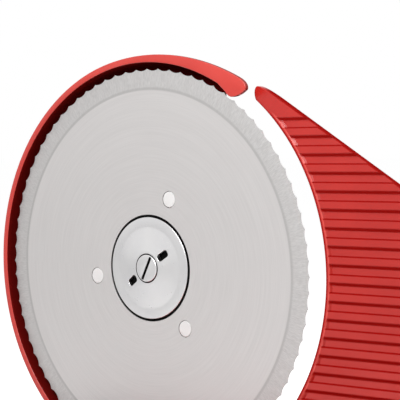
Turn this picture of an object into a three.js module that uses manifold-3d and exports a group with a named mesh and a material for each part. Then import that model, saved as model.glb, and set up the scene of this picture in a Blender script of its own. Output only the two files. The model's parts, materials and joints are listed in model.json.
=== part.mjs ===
// A hand cranked slicer for meat and bread, in millimetres.
// +X runs along the carriage's travel, +Y from the food side to the crank side, and +Z is up.
// The pieces are made with the blade's axis at x = 0, z = 0 and the blade's ground face at y = 0.
// The finished group is then moved so that it stands on z = 0, centred over the origin.
import * as THREE from "three";
import { mergeVertices } from "three/addons/utils/BufferGeometryUtils.js";
import Module from "manifold-3d";

const wasm = await Module();
wasm.setup();

// Clearances
const SEAT_GAP = 0.3; // between pieces fastened to each other
const RUNNING_GAP = 0.1; // round a shaft or rod that turns or slides
const OVERRUN = 1; // how far a cutting solid passes the face that it cuts

// Facets of round forms
const FINE_FACETS = 36;
const ROUND_FACETS = 20; // of shafts and bores that turn or slide in each other
const DISC_FACETS = 28;
const PLAIN_FACETS = 16;
const COARSE_FACETS = 12;
const SMALL_FACETS = 8;
const SCREW_FACETS = 6;
const FILLET_FACETS = 3;
const CURVE_FACETS = 3;
const BAND_FACETS = 14;
const EDGE_FACETS = 18;

// Blade: a disc with a scalloped edge, ground to a bevel on the food side
const BLADE_RADIUS = 95;
const BLADE_THICKNESS = 1.5;
const BEVEL_WIDTH = 10;
const BEVEL_DEPTH = 0.3;
const BACK_BEVEL_WIDTH = 4;
const SCALLOPS = 84;
const FACETS_PER_SCALLOP = 3;
const SCALLOP_DEPTH = 0.9;
const BLADE_BORE_RADIUS = 17;
const PEGS = 3;
const PEG_CIRCLE_RADIUS = 35.4;
const PEG_RADIUS = 3.7;
const FIRST_PEG_ANGLE = 68.5;

// Blade seat: a black flanged cup through the blade's bore
const SEAT_RADIUS = 25.6;
const SEAT_SHEET = 0.6;

// Hub cover with its coin-slotted screw
const COVER_RADIUS = 24.4;
const COVER_RIM = 0.5;
const COVER_RISE = 1.2;
const COVER_SHOULDER_OUTER_RADIUS = 19.3;
const COVER_SHOULDER_INNER_RADIUS = 10;
const COVER_SLOT_LENGTH = 6.2;
const COVER_SLOT_WIDTH = 3.4;
const COVER_SLOT_RADIUS = 11.6;
const COVER_SLOT_ANGLE = 33;
const SCREW_HEAD_RADIUS = 7;
const SCREW_HEAD_THICKNESS = 1.4;
const SCREW_HEAD_SINK = 0.5;
const SCREW_SHANK_RADIUS = 2.5;
const SCREW_LENGTH = 13;
const SCREW_SLOT_LENGTH = 12.2;
const SCREW_SLOT_WIDTH = 1.2;
const SCREW_SLOT_DEPTH = 0.9;
const SCREW_SLOT_ANGLE = 62.7;

// Drive: the crank gear turns the pinion of the blade's nylon hub
const GEAR_MODULE = 1.5;
const GEAR_TEETH = 48;
const PINION_TEETH = 18;
const PRESSURE_ANGLE = 20;
const BACKLASH = 0.24;
const DEDENDUM_SHARE = 1.25;
const FLANK_FACETS = 1;
const GEAR_WIDTH = 10;
const PINION_WIDTH = 11;
const CRANK_BEARING_ANGLE = 200;
const HUB_FLANGE_RADIUS = 44;
const HUB_FLANGE_THICKNESS = 3.2;
const HUB_NECK_RADIUS = 13;
const HUB_NECK_LENGTH = 8.5;
const AXLE_RADIUS = 6;
const AXLE_TAIL = 3.2;
const BUSH_WALL = 2.8;
const BUSH_FLANGE_RADIUS = 12;
const BUSH_FLANGE_THICKNESS = 1.3;
const CLIP_THICKNESS = 1.2;
const CLIP_WIDTH = 3.2;
const CLIP_GROOVE_DEPTH = 1;
const CLIP_MOUTH_ANGLE = 70;
const GEAR_BOSS_RADIUS = 11;
const SHAFT_HEAD_RADIUS = 9;
const SHAFT_HEAD_THICKNESS = 2.4;

// Housing: a cast pan with the blade guard, the gear pocket and the pedestal
const GUARD_LEAD = 2.7;
const GUARD_CLEARANCE = 2.9;
const HOUSING_WALL = 3;
const GUARD_CHAMFER = 0.8;
const GUARD_FROM_ANGLE = 62;
const GUARD_TO_ANGLE = 285;
const GUARD_STEPS = 32;
const PAN_DEPTH = 11.6;
const PAN_ROUND = 9;
const FLOOR_WIDTH = 12;
const FLOOR_WAIST_MARGIN = 9; // between the pinion's pocket and the floor's hollow edge
const FLOOR_STEPS = 20;
const POCKET_CLEARANCE = 1.5;
const POCKET_DEPTH = 17.6;
const POCKET_ROUND = 6;
const HUB_POCKET_RADIUS = 22;
const BOSS_RADIUS = 14;
const BOSS_FILLET = 4;
const AXLE_BOSS_LENGTH = 12;
const CRANK_BOSS_LENGTH = 20;
const CAP_SEAT_DEPTH = 4.2;
const PEDESTAL_LEFT = -74;
const PEDESTAL_RIGHT = 36;
const PEDESTAL_POCKET_GAP = 13; // between the pedestal's top and the pinion's pocket
const PEDESTAL_LEFT_LEAN = 10;
const PEDESTAL_RIGHT_LEAN = 22;
const PEDESTAL_DEPTH = 19;
const PEDESTAL_RIBS = 2;
const PEDESTAL_FLANGE_HEIGHT = 8;
const PEDESTAL_FLANGE_REACH = 8;
const PEDESTAL_CORNER = 6;
const AXLE_CAP_THICKNESS = 2.4;
const AXLE_CAP_SPIGOT = 1.6;

// Guard finger: the guard's front face swells towards a nose, whose points reach past the guard's outside
const FINGER_THICKNESS = 2;
const FINGER_FROM_ANGLE = 104;
const FINGER_SWELL_END_ANGLE = 57;
const FINGER_SWELL = 5.2;
const FINGER_SWELL_POWER = 2.1;
const FINGER_STEPS = 8;
const FINGER_SHOULDER_REACH = 6.1;
const FINGER_SHOULDER_ANGLE = 53.5;
const FINGER_NOSE_REACH = 3;
const FINGER_NOSE_ANGLE = 53.1;
const FINGER_CHIN_DROP = 0.9;
const FINGER_CHIN_ANGLE = 53.8;
const FINGER_EDGE_CLEARANCE = 0.4; // between the finger's inner corner and the blade's edge
const FINGER_CORNER_ANGLE = 57.3;
const TAPER_FROM_ANGLE = 66;
const TAPER_TO_ANGLE = 59;
const TAPER_DROP = 41;

// Gear shield: the sheet that closes the pocket behind the nylon hub
const SHIELD_THICKNESS = 1.2;
const SHIELD_LAP = 3.2;
const SHIELD_EAR_REACH = 4.8;
const SHIELD_EAR_RADIUS = 4.6;
const SHIELD_SCREW_RADIUS = 2.7;
const SHIELD_SCREW_HEAD = 1.3;
const SHIELD_SCREW_SHANK = 1.4;
const HUB_SHIELD_SCREW_ANGLE = 10;
const GEAR_SHIELD_SCREW_ANGLES = [120, 265];

// Base: a cast tray, open below, on four suction feet
const GUARD_BASE_GAP = 11.1; // between the guard's lowest edge and the base's top
const BASE_LEFT = -100;
const BASE_RIGHT = 250;
const BASE_FRONT = -94;
const BASE_BACK = 45;
const BASE_HEIGHT = 16;
const BASE_WALL = 3;
const BASE_CORNER = 22;
const BASE_TOP_ROUND = 3;
const BASE_RIB = 2.6;
const BASE_CROSS_RIBS = 2;
const FOOT_HEIGHT = 12;
const FOOT_INSET = 21;
const FOOT_BOSS_RADIUS = 9;
const FOOT_RADIUS = 17;
const FOOT_NECK_RADIUS = 9;
const FOOT_LIP = 2.4;
const FOOT_HOLLOW = 3.4;
const FOOT_SCREW_RADIUS = 2.2;
const FOOT_SCREW_HEAD_RADIUS = 4.6;
const FOOT_SCREW_HEAD = 2.2;
const FIXING_SCREW_REACH = 6.6; // from the base's top into the piece that it holds
const FIXING_SCREW_INSET = 12;

// Crank
const GRIP_FLOOR_GAP = 14.57; // between the grip at its lowest and the table
const ARM_THICKNESS = 6;
const ARM_HUB_RADIUS = 13;
const ARM_HUB_THICKNESS = 11;
const ARM_END_RADIUS = 9;
const ARM_BOSS_GAP = 1.2;
const SHAFT_SQUARE = 8.4;
const NUT_ACROSS_CORNERS_RADIUS = 8;
const NUT_HEIGHT = 5;
const NUT_DOME_RADIUS = 6;
const NUT_DOME_HEIGHT = 5;
const GRIP_PIN_RADIUS = 4;
const GRIP_PIN_HEAD_RADIUS = 6.6;
const GRIP_PIN_HEAD = 2.4;
const GRIP_LENGTH = 78;
const GRIP_END_GAP = 1;
const GRIP_RECESS_DEPTH = 7;
const GRIP_RECESS_RADIUS = 8.6;
const GRIP_NECK_RADIUS = 9.5;
const GRIP_BELLY_RADIUS = 13.5;
const GRIP_TAIL_RADIUS = 11.5;

// Guide plate: the grooved stop that sets the slice
const SLICE_AT_REST = 5.5;
const PLATE_GAP = 4.9;
const PLATE_THICKNESS = 3.2;
const PLATE_CHAMFER = 0.35;
const PLATE_SLOPE_ANGLE = 31.15;
const PLATE_REACH = 46; // from the spindle to the plate's right end
const PLATE_DECK_GAP = 2.5;
const PLATE_CORNER = 12;
const PLATE_LEAST_CORNER = 2;
const TIP_EDGE_ANGLE = 50.42;
const TIP_EDGE_DROP_SHARE = 3; // how much lower the tip of an inset outline starts, per inset
const TIP_WIDTH = 6.4;
const TIP_RISE = 5.96; // of the slope over the tip's inner end
const TIP_EDGE_HANDLE = 4.5;
const TIP_SLOPE_HANDLE = 6;
const GROOVE_PITCH = 8.06;
const GROOVE_WIDTH = 4.03;
const GROOVE_DEPTH = 1.15;
const GROOVE_TOP_SLOPE = 1;
const GROOVE_BOTTOM_SLOPE = 0.4;
const GROOVE_RIM = 2;
const TIP_GROOVE_GAP = 7; // between the tip's inner end and the first groove
const STIFFENER_INSET = 9;
const STIFFENER_WALL = 2.2;
const STIFFENER_DEPTH = 6;
const PLATE_BOSS_RADIUS = 8;
const ROD_BOSS_DEPTH = 7;
const NUT_BOSS_DEPTH = 18.3;

// Slice adjuster: guide rods, spindle and knob in a block on the base
const ADJUSTER_INSET = 72; // from the base's right end to the spindle
const ADJUSTER_RISE = 29.5;
const GUIDE_ROD_RADIUS = 4;
const GUIDE_ROD_SPREAD = 30;
const GUIDE_ROD_SHORTFALL = 2;
const SLICE_RANGE_ROOM = 10;
const BLOCK_DEPTH = 22;
const BLOCK_MARGIN = 11;
const BLOCK_CORNER = 8;
const BLOCK_FOOT_HEIGHT = 8;
const BLOCK_FOOT_REACH = 8;
const BLOCK_POCKET_RADIUS = 9.5;
const SPINDLE_RADIUS = 4;
const SPINDLE_COLLAR_RADIUS = 7.5;
const SPINDLE_COLLAR = 2;
const SPINDLE_NUT_RADIUS = 6.2;
const KNOB_SKIRT_RADIUS = 23;
const KNOB_SKIRT_HEIGHT = 4;
const KNOB_GRIP_RADIUS = 17;
const KNOB_GRIP_HEIGHT = 20;
const KNOB_FLUTES = 10;
const KNOB_FLUTE_RADIUS = 3.4;
const KNOB_EDGE = 2;

// Carriage: a sheet deck with its rail sliders and upright wall
const DECK_RAIL_RISE = 20;
const DECK_WIDTH = 138;
const DECK_OVERHANG = 26; // past the base's right end, at rest
const DECK_BACK = -4.5;
const DECK_FRONT = -122;
const DECK_SHEET = 1.5;
const DECK_LIP = 9;
const DECK_CORNER = 10;
const DECK_GROOVES = 7;
const DECK_GROOVE_WIDTH = 2;
const DECK_GROOVE_DEPTH = 0.5;
const DECK_GROOVE_MARGIN = 14;
const RAIL_RADIUS = 4;
const RAIL_RISE = 14;
const INNER_RAIL_Y = -18;
const OUTER_RAIL_Y = -74;
const RAIL_BLOCK_LENGTH = 14;
const RAIL_BLOCK_WALL = 6;
const RAIL_BLOCK_ROUND = 3;
const RAIL_BLOCK_INSET = 7;
const SLIDER_LENGTH = 18;
const SLIDER_WIDTH = 14;
const SLIDER_FOOT = 6.2;
const SLIDER_SPACING = 46;
const SLIDER_INSET = 24;
const SLIDER_CORNER = 2;
const WALL_THICKNESS = 4;
const WALL_HEIGHT = 102;
const WALL_CORNER = 26;
const WALL_RIM = 2.4;
const GUARD_FLANGE_REACH = 30;
const GUARD_FLANGE_THICKNESS = 3;
const GUARD_FLANGE_CORNER = 18;
const WALL_SCREW_RADIUS = 1.9;
const WALL_SCREW_HEAD_RADIUS = 3.6;
const WALL_SCREW_HEAD = 1.8;
const WALL_SCREW_LENGTH = 12;
const WALL_FOOT_REACH = 14;
const WALL_FOOT_THICKNESS = 5;

// Pusher: the holder that slides along the wall's top and presses the last piece of food
const PUSHER_WIDTH = 62;
const PUSHER_THICKNESS = 4;
const PUSHER_FRONT = -96;
const PUSHER_SADDLE_LENGTH = 22;
const PUSHER_SADDLE_SHEET = 3;
const PUSHER_SKIRT = 14;
const PUSHER_DECK_GAP = 2.5;
const PUSHER_CORNER = 9;
const PUSHER_RIDGES = 6;
const PUSHER_RIDGE_WIDTH = 3;
const PUSHER_RIDGE_HEIGHT = 2.5;
const PUSHER_KNOB_RADIUS = 15;
const PUSHER_KNOB_NECK_RADIUS = 8;
const PUSHER_KNOB_LENGTH = 28;

// Angles are written in degrees.
const radians = THREE.MathUtils.degToRad;

// Places that several pieces share
const seatFlangeFront = -SEAT_GAP - SEAT_SHEET;
const hubFace = BLADE_THICKNESS + SEAT_GAP;
const hubFlangeBack = hubFace + HUB_FLANGE_THICKNESS;
const pinionFront = hubFlangeBack + HUB_NECK_LENGTH;
const pinionBack = pinionFront + PINION_WIDTH;
const guardFront = -GUARD_LEAD;
const guardInner = BLADE_RADIUS + GUARD_CLEARANCE;
const guardOuter = guardInner + HOUSING_WALL;
const floorFront = guardFront + PAN_DEPTH;
const floorBack = floorFront + HOUSING_WALL;
const pocketBack = floorFront + POCKET_DEPTH;
const housingBack = pocketBack + HOUSING_WALL;
const axleBossEnd = housingBack + AXLE_BOSS_LENGTH;
const crankBossEnd = housingBack + CRANK_BOSS_LENGTH;
const bushFront = pocketBack - SEAT_GAP - BUSH_FLANGE_THICKNESS;
const bushRadius = AXLE_RADIUS + BUSH_WALL;
const axleEnd = axleBossEnd + AXLE_TAIL;
const clipFront = axleBossEnd + SEAT_GAP;
const pitchRadius = (teeth) => (teeth * GEAR_MODULE) / 2;
const crankDistance = pitchRadius(GEAR_TEETH) + pitchRadius(PINION_TEETH);
const [crankX, crankZ] = polar(crankDistance, CRANK_BEARING_ANGLE);
const gearPocketRadius = pitchRadius(GEAR_TEETH) + GEAR_MODULE + POCKET_CLEARANCE;
const gearFront = pinionFront + (PINION_WIDTH - GEAR_WIDTH) / 2;
const gearBack = gearFront + GEAR_WIDTH;
const baseTop = -guardOuter - GUARD_BASE_GAP;
const baseBottom = baseTop - BASE_HEIGHT;
const floorLevel = baseBottom - FOOT_HEIGHT;
const armFront = crankBossEnd + ARM_BOSS_GAP;
const armBack = armFront + ARM_HUB_THICKNESS;
const plateFace = SLICE_AT_REST;
const plateBack = plateFace + PLATE_THICKNESS;
const plateInner = BLADE_RADIUS + PLATE_GAP;
const railZ = baseTop + RAIL_RISE;
const deckTop = railZ + DECK_RAIL_RISE;
const deckRight = BASE_RIGHT + DECK_OVERHANG;
const deckLeft = deckRight - DECK_WIDTH;
const plateBottom = deckTop + PLATE_DECK_GAP;
const adjusterX = BASE_RIGHT - ADJUSTER_INSET;
const plateRight = adjusterX + PLATE_REACH;
const nutBossBack = plateBack + NUT_BOSS_DEPTH;
const adjusterZ = plateBottom + ADJUSTER_RISE;
const blockFront = plateBack + ROD_BOSS_DEPTH + SLICE_RANGE_ROOM;
const blockBack = blockFront + BLOCK_DEPTH;
const blockPocketFloor = nutBossBack + SLICE_RANGE_ROOM + SPINDLE_COLLAR;
const deckUnderside = deckTop - DECK_SHEET;
const wallInner = deckRight - WALL_THICKNESS;
const wallTop = deckTop + WALL_HEIGHT;

// A point in the XZ plane, from its distance to the axis and its angle from +X towards +Z.
function polar(radius, degrees) {
  const angle = radians(degrees);
  return [radius * Math.cos(angle), radius * Math.sin(angle)];
}

// A closed geometry as a solid, with its shared corners merged.
function solidOf(geometry) {
  const bare = geometry.clone();
  bare.deleteAttribute("normal");
  bare.deleteAttribute("uv");
  const merged = mergeVertices(bare, 1e-4);
  const mesh = new wasm.Mesh({
    numProp: 3,
    vertProperties: merged.attributes.position.array,
    triVerts: new Uint32Array(merged.index.array),
  });
  return new wasm.Manifold(mesh);
}

function geometryOf(solid) {
  const mesh = solid.getMesh();
  const geometry = new THREE.BufferGeometry();
  geometry.setAttribute("position", new THREE.BufferAttribute(mesh.vertProperties, mesh.numProp));
  geometry.setIndex(new THREE.BufferAttribute(mesh.triVerts, 1));
  return geometry;
}

function joined(...geometries) {
  return geometryOf(geometries.map(solidOf).reduce((whole, piece) => whole.add(piece)));
}

function cut(geometry, ...cutters) {
  return geometryOf(cutters.map(solidOf).reduce((rest, cutter) => rest.subtract(cutter), solidOf(geometry)));
}

// An outline drawn in the XZ plane, as thick as the way from front to back along Y.
function slab(outline, front, back, bevel = {}) {
  const settings = { depth: back - front, bevelEnabled: false, curveSegments: CURVE_FACETS, ...bevel };
  return new THREE.ExtrudeGeometry(outline, settings).rotateX(Math.PI / 2).translate(0, back, 0);
}

// An outline drawn in the XY plane, raised from bottom to top.
function raised(outline, bottom, top) {
  const settings = { depth: top - bottom, bevelEnabled: false, curveSegments: CURVE_FACETS };
  return new THREE.ExtrudeGeometry(outline, settings).translate(0, 0, bottom);
}

// An outline drawn in the YZ plane, drawn out along X.
function drawnOut(outline, left, right) {
  const settings = { depth: right - left, bevelEnabled: false, curveSegments: CURVE_FACETS };
  const turn = new THREE.Matrix4().makeBasis(
    new THREE.Vector3(0, 1, 0),
    new THREE.Vector3(0, 0, 1),
    new THREE.Vector3(1, 0, 0),
  );
  return new THREE.ExtrudeGeometry(outline, settings).applyMatrix4(turn).translate(left, 0, 0);
}

// A profile of [radius, y] points, listed from its front round its outside to its back, turned about
// the line along Y through x and z. It starts and ends on the axis, or closes on itself.
function turned(profile, x = 0, z = 0, facets = ROUND_FACETS) {
  const points = profile.map(([radius, y]) => new THREE.Vector2(radius, y));
  return new THREE.LatheGeometry(points, facets).translate(x, 0, z);
}

// The same for a profile of [radius, z] points, turned about an upright line.
function turnedUpright(profile, x, y, facets = ROUND_FACETS) {
  const points = profile.map(([radius, z]) => new THREE.Vector2(radius, z));
  return new THREE.LatheGeometry(points, facets).rotateX(Math.PI / 2).translate(x, y, 0);
}

function pin(radius, front, back, x = 0, z = 0, facets = ROUND_FACETS) {
  const profile = [[0, front], [radius, front], [radius, back], [0, back]];
  return turned(profile, x, z, facets);
}

function uprightPin(radius, bottom, top, x, y, facets = ROUND_FACETS) {
  const profile = [[0, bottom], [radius, bottom], [radius, top], [0, top]];
  return turnedUpright(profile, x, y, facets);
}

function sleeve(bore, radius, front, back, x = 0, z = 0, facets = ROUND_FACETS) {
  const profile = [[bore, front], [radius, front], [radius, back], [bore, back], [bore, front]];
  return turned(profile, x, z, facets);
}

function arc(centreU, centreV, radius, fromDegrees, toDegrees, facets = FILLET_FACETS) {
  return Array.from({ length: facets + 1 }, (_, i) => {
    const [u, v] = polar(radius, fromDegrees + ((toDegrees - fromDegrees) * i) / facets);
    return [centreU + u, centreV + v];
  });
}

// An outline through corners of [u, v, round], each cut back by its round and bent through the corner.
function roundedOutline(corners) {
  const outline = new THREE.Shape();
  corners.forEach(([u, v, round], i) => {
    const corner = new THREE.Vector2(u, v);
    const backTo = ([otherU, otherV]) =>
      new THREE.Vector2(otherU, otherV).sub(corner).setLength(round).add(corner);
    const start = backTo(corners.at(i - 1));
    const end = backTo(corners[(i + 1) % corners.length]);
    if (i === 0) outline.moveTo(start.x, start.y);
    else outline.lineTo(start.x, start.y);
    if (round > 0) outline.quadraticCurveTo(corner.x, corner.y, end.x, end.y);
  });
  return outline;
}

function roundedBox(left, low, right, high, round) {
  return roundedOutline([
    [left, low, round],
    [right, low, round],
    [right, high, round],
    [left, high, round],
  ]);
}

function outlineOf(points) {
  return new THREE.Shape(points.map(([u, v]) => new THREE.Vector2(u, v)));
}

function circleOutline(radius, u, v) {
  return outlineOf(arc(u, v, radius, 0, 360, ROUND_FACETS).slice(1));
}

// The outline of a band round two circles, with each corner point listed counterclockwise.
function bandPoints(firstX, firstZ, firstRadius, secondX, secondZ, secondRadius) {
  const distance = Math.hypot(secondX - firstX, secondZ - firstZ);
  const heading = THREE.MathUtils.radToDeg(Math.atan2(secondZ - firstZ, secondX - firstX));
  const lean = THREE.MathUtils.radToDeg(Math.acos((firstRadius - secondRadius) / distance));
  const firstArc = arc(firstX, firstZ, firstRadius, heading + lean, heading + 360 - lean, BAND_FACETS);
  const secondArc = arc(secondX, secondZ, secondRadius, heading - lean, heading + lean, BAND_FACETS / 2);
  return [...firstArc, ...secondArc];
}

// A closed solid through rings with the same count of points, capped flat at both ends. The points
// run counterclockwise as seen from the last ring.
function lofted(rings) {
  const count = rings[0].length;
  const positions = rings.flat(2);
  const triangles = [];
  for (let ring = 0; ring + 1 < rings.length; ring++) {
    for (let i = 0; i < count; i++) {
      const a = ring * count + i;
      const b = ring * count + ((i + 1) % count);
      triangles.push(a, b, b + count, a, b + count, a + count);
    }
  }
  const last = (rings.length - 1) * count;
  for (let i = 1; i + 1 < count; i++) {
    triangles.push(0, i + 1, i, last, last + i, last + i + 1);
  }
  const geometry = new THREE.BufferGeometry();
  geometry.setAttribute("position", new THREE.Float32BufferAttribute(positions, 3));
  return geometry.setIndex(triangles);
}

// A counterclockwise [radius, y] profile swept about the blade's axis over part of a turn.
function sweptRound(profile, fromDegrees, toDegrees, steps) {
  const count = profile.length;
  const positions = [];
  for (let step = 0; step <= steps; step++) {
    const degrees = fromDegrees + ((toDegrees - fromDegrees) * step) / steps;
    for (const [radius, y] of profile) {
      const [x, z] = polar(radius, degrees);
      positions.push(x, y, z);
    }
  }
  const triangles = [];
  for (let step = 0; step < steps; step++) {
    for (let i = 0; i < count; i++) {
      const a = step * count + i;
      const b = step * count + ((i + 1) % count);
      triangles.push(a, b, b + count, a, b + count, a + count);
    }
  }
  const flat = profile.map(([radius, y]) => new THREE.Vector2(radius, y));
  for (const [a, b, c] of THREE.ShapeUtils.triangulateShape(flat, [])) {
    const last = steps * count;
    triangles.push(a, c, b, last + a, last + b, last + c);
  }
  const geometry = new THREE.BufferGeometry();
  geometry.setAttribute("position", new THREE.Float32BufferAttribute(positions, 3));
  return geometry.setIndex(triangles);
}

// Materials
const finish = (color, roughness, metalness) => ({ color, roughness, metalness });
const RED_PAINT = finish(0xd23a31, 0.32, 0);
const BLADE_STEEL = finish(0xd2d0ce, 0.36, 0.9);
const CHROME = finish(0xe6e4e4, 0.12, 1);
const STEEL = finish(0xb9babb, 0.35, 0.95);
const BRONZE = finish(0xb58a4c, 0.4, 0.9);
const WHITE_NYLON = finish(0xece8e4, 0.55, 0);
const BLACK_PLASTIC = finish(0x1d1d1f, 0.5, 0);
const RUBBER = finish(0x171718, 0.85, 0);

function piece(name, geometry, material) {
  const mesh = new THREE.Mesh(geometry, new THREE.MeshStandardMaterial(material));
  mesh.name = name;
  return mesh;
}

// Blade and hub

function bladeRim(geometry) {
  const bevelStart = BLADE_RADIUS - BEVEL_WIDTH;
  const position = geometry.attributes.position;
  for (let i = 0; i < position.count; i++) {
    const x = position.getX(i);
    const z = position.getZ(i);
    const radius = Math.hypot(x, z);
    if (radius > bevelStart + BEVEL_WIDTH / 2) {
      const wave = (1 - Math.cos(SCALLOPS * Math.atan2(z, x))) / 2;
      const scale = (radius - SCALLOP_DEPTH * wave) / radius;
      position.setXYZ(i, x * scale, position.getY(i), z * scale);
    }
  }
  return geometry;
}

function pegPlaces() {
  return Array.from({ length: PEGS }, (_, i) => polar(PEG_CIRCLE_RADIUS, FIRST_PEG_ANGLE + (360 * i) / PEGS));
}

function makeBlade() {
  const profile = [
    [0, 0],
    [BLADE_RADIUS - BEVEL_WIDTH, 0],
    [BLADE_RADIUS, BEVEL_DEPTH],
    [BLADE_RADIUS - BACK_BEVEL_WIDTH, BLADE_THICKNESS],
    [0, BLADE_THICKNESS],
  ];
  const disc = bladeRim(turned(profile, 0, 0, SCALLOPS * FACETS_PER_SCALLOP));
  const through = (radius, x, z, facets) =>
    pin(radius, -OVERRUN, BLADE_THICKNESS + OVERRUN, x, z, facets);
  const pegHoles = pegPlaces().map(([x, z]) => through(PEG_RADIUS + SEAT_GAP, x, z, COARSE_FACETS));
  return cut(disc, through(BLADE_BORE_RADIUS, 0, 0, ROUND_FACETS), ...pegHoles);
}

function makeBladeSeat() {
  const sleeveOuter = BLADE_BORE_RADIUS - SEAT_GAP;
  const sleeveInner = sleeveOuter - SEAT_SHEET;
  const bore = SCREW_SHANK_RADIUS + SEAT_GAP;
  const floor = BLADE_THICKNESS - SEAT_SHEET;
  return turned([
    [bore, floor],
    [sleeveInner, floor],
    [sleeveInner, seatFlangeFront],
    [SEAT_RADIUS, seatFlangeFront],
    [SEAT_RADIUS, -SEAT_GAP],
    [sleeveOuter, -SEAT_GAP],
    [sleeveOuter, BLADE_THICKNESS],
    [bore, BLADE_THICKNESS],
    [bore, floor],
  ]);
}

const coverRimBack = seatFlangeFront - SEAT_GAP;
const coverRimFront = coverRimBack - COVER_RIM;
const coverCentre = coverRimFront - COVER_RISE;
const screwFace = coverCentre + SCREW_HEAD_SINK;

function makeBladeCover() {
  const bossRadius = BLADE_BORE_RADIUS - 2 * SEAT_GAP - SEAT_SHEET;
  const bossBack = BLADE_THICKNESS - SEAT_SHEET - SEAT_GAP;
  const recess = SCREW_HEAD_RADIUS + SEAT_GAP;
  const recessFloor = screwFace + SCREW_HEAD_THICKNESS + SEAT_GAP;
  const bore = SCREW_SHANK_RADIUS + SEAT_GAP;
  const shoulderWidth = COVER_SHOULDER_OUTER_RADIUS - COVER_SHOULDER_INNER_RADIUS;
  const dome = turned(
    [
      [bore, recessFloor],
      [recess, recessFloor],
      [recess, coverCentre],
      [COVER_SHOULDER_INNER_RADIUS, coverCentre + COVER_RIM / 4],
      [COVER_SHOULDER_INNER_RADIUS + shoulderWidth / 3, coverCentre + COVER_RISE / 3],
      [COVER_SHOULDER_OUTER_RADIUS - shoulderWidth / 3, coverRimFront - COVER_RISE / 6],
      [COVER_SHOULDER_OUTER_RADIUS, coverRimFront],
      [COVER_RADIUS - COVER_RIM / 2, coverRimFront],
      [COVER_RADIUS, coverRimFront + COVER_RIM / 2],
      [COVER_RADIUS, coverRimBack],
      [bossRadius, coverRimBack],
      [bossRadius, bossBack],
      [bore, bossBack],
      [bore, recessFloor],
    ],
    0,
    0,
    DISC_FACETS,
  );
  const slots = [0, 180].map((turn) => {
    const outline = roundedBox(
      COVER_SLOT_RADIUS - COVER_SLOT_LENGTH / 2,
      -COVER_SLOT_WIDTH / 2,
      COVER_SLOT_RADIUS + COVER_SLOT_LENGTH / 2,
      COVER_SLOT_WIDTH / 2,
      COVER_SLOT_WIDTH / 4,
    );
    const slot = slab(outline, coverCentre - OVERRUN, bossBack + OVERRUN);
    return slot.rotateY(-radians(COVER_SLOT_ANGLE + turn));
  });
  return cut(dome, ...slots);
}

function makeCoverScrew() {
  const headBack = screwFace + SCREW_HEAD_THICKNESS;
  const body = turned([
    [0, screwFace],
    [SCREW_HEAD_RADIUS, screwFace],
    [SCREW_HEAD_RADIUS, headBack],
    [SCREW_SHANK_RADIUS, headBack],
    [SCREW_SHANK_RADIUS, headBack + SCREW_LENGTH],
    [0, headBack + SCREW_LENGTH],
  ]);
  const half = SCREW_SLOT_LENGTH / 2;
  const outline = roundedBox(-half, -SCREW_SLOT_WIDTH / 2, half, SCREW_SLOT_WIDTH / 2, SCREW_SLOT_WIDTH / 4);
  const slot = slab(outline, screwFace - OVERRUN, screwFace + SCREW_SLOT_DEPTH);
  return cut(body, slot.rotateY(-radians(SCREW_SLOT_ANGLE)));
}

// Gears

// An involute gear's outline about the origin, with one tooth centred on the given angle.
function gearOutline(teeth, toothAngle) {
  const pitch = pitchRadius(teeth);
  const base = pitch * Math.cos(radians(PRESSURE_ANGLE));
  const tip = pitch + GEAR_MODULE;
  const root = pitch - DEDENDUM_SHARE * GEAR_MODULE;
  const involute = (radius) => {
    const angle = Math.acos(Math.min(1, base / radius));
    return Math.tan(angle) - angle;
  };
  const halfTooth = Math.PI / (2 * teeth) - BACKLASH / 4 / pitch + involute(pitch);
  const flankStart = Math.max(root, base);
  const flank = Array.from({ length: FLANK_FACETS + 1 }, (_, i) => {
    const radius = flankStart + ((tip - flankStart) * i) / FLANK_FACETS;
    return [radius, halfTooth - involute(radius)];
  });
  if (root < base) flank.unshift([root, halfTooth]);
  const points = [];
  for (let tooth = 0; tooth < teeth; tooth++) {
    const centre = radians(toothAngle + (360 * tooth) / teeth);
    const place = (radius, angle) => [radius * Math.cos(centre + angle), radius * Math.sin(centre + angle)];
    flank.forEach(([radius, angle]) => points.push(place(radius, -angle)));
    [...flank].reverse().forEach(([radius, angle]) => points.push(place(radius, angle)));
  }
  return outlineOf(points);
}

function makeDriveHub() {
  const bore = AXLE_RADIUS + SEAT_GAP;
  const toothAngle = CRANK_BEARING_ANGLE + 180 / PINION_TEETH;
  const pinion = slab(gearOutline(PINION_TEETH, toothAngle), pinionFront - OVERRUN, pinionBack);
  const edge = HUB_FLANGE_THICKNESS / 4;
  const flange = turned(
    [
      [0, hubFace],
      [HUB_FLANGE_RADIUS - edge, hubFace],
      [HUB_FLANGE_RADIUS, hubFace + edge],
      [HUB_FLANGE_RADIUS, hubFlangeBack],
      [HUB_NECK_RADIUS, hubFlangeBack],
      [HUB_NECK_RADIUS, pinionFront],
      [0, pinionFront],
    ],
    0,
    0,
    DISC_FACETS,
  );
  const pegs = pegPlaces().map(([x, z]) =>
    pin(PEG_RADIUS, SEAT_GAP / 3, hubFace + HUB_FLANGE_THICKNESS / 2, x, z, COARSE_FACETS),
  );
  return cut(joined(flange, pinion, ...pegs), pin(bore, hubFace - OVERRUN, pinionBack + OVERRUN));
}

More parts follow.
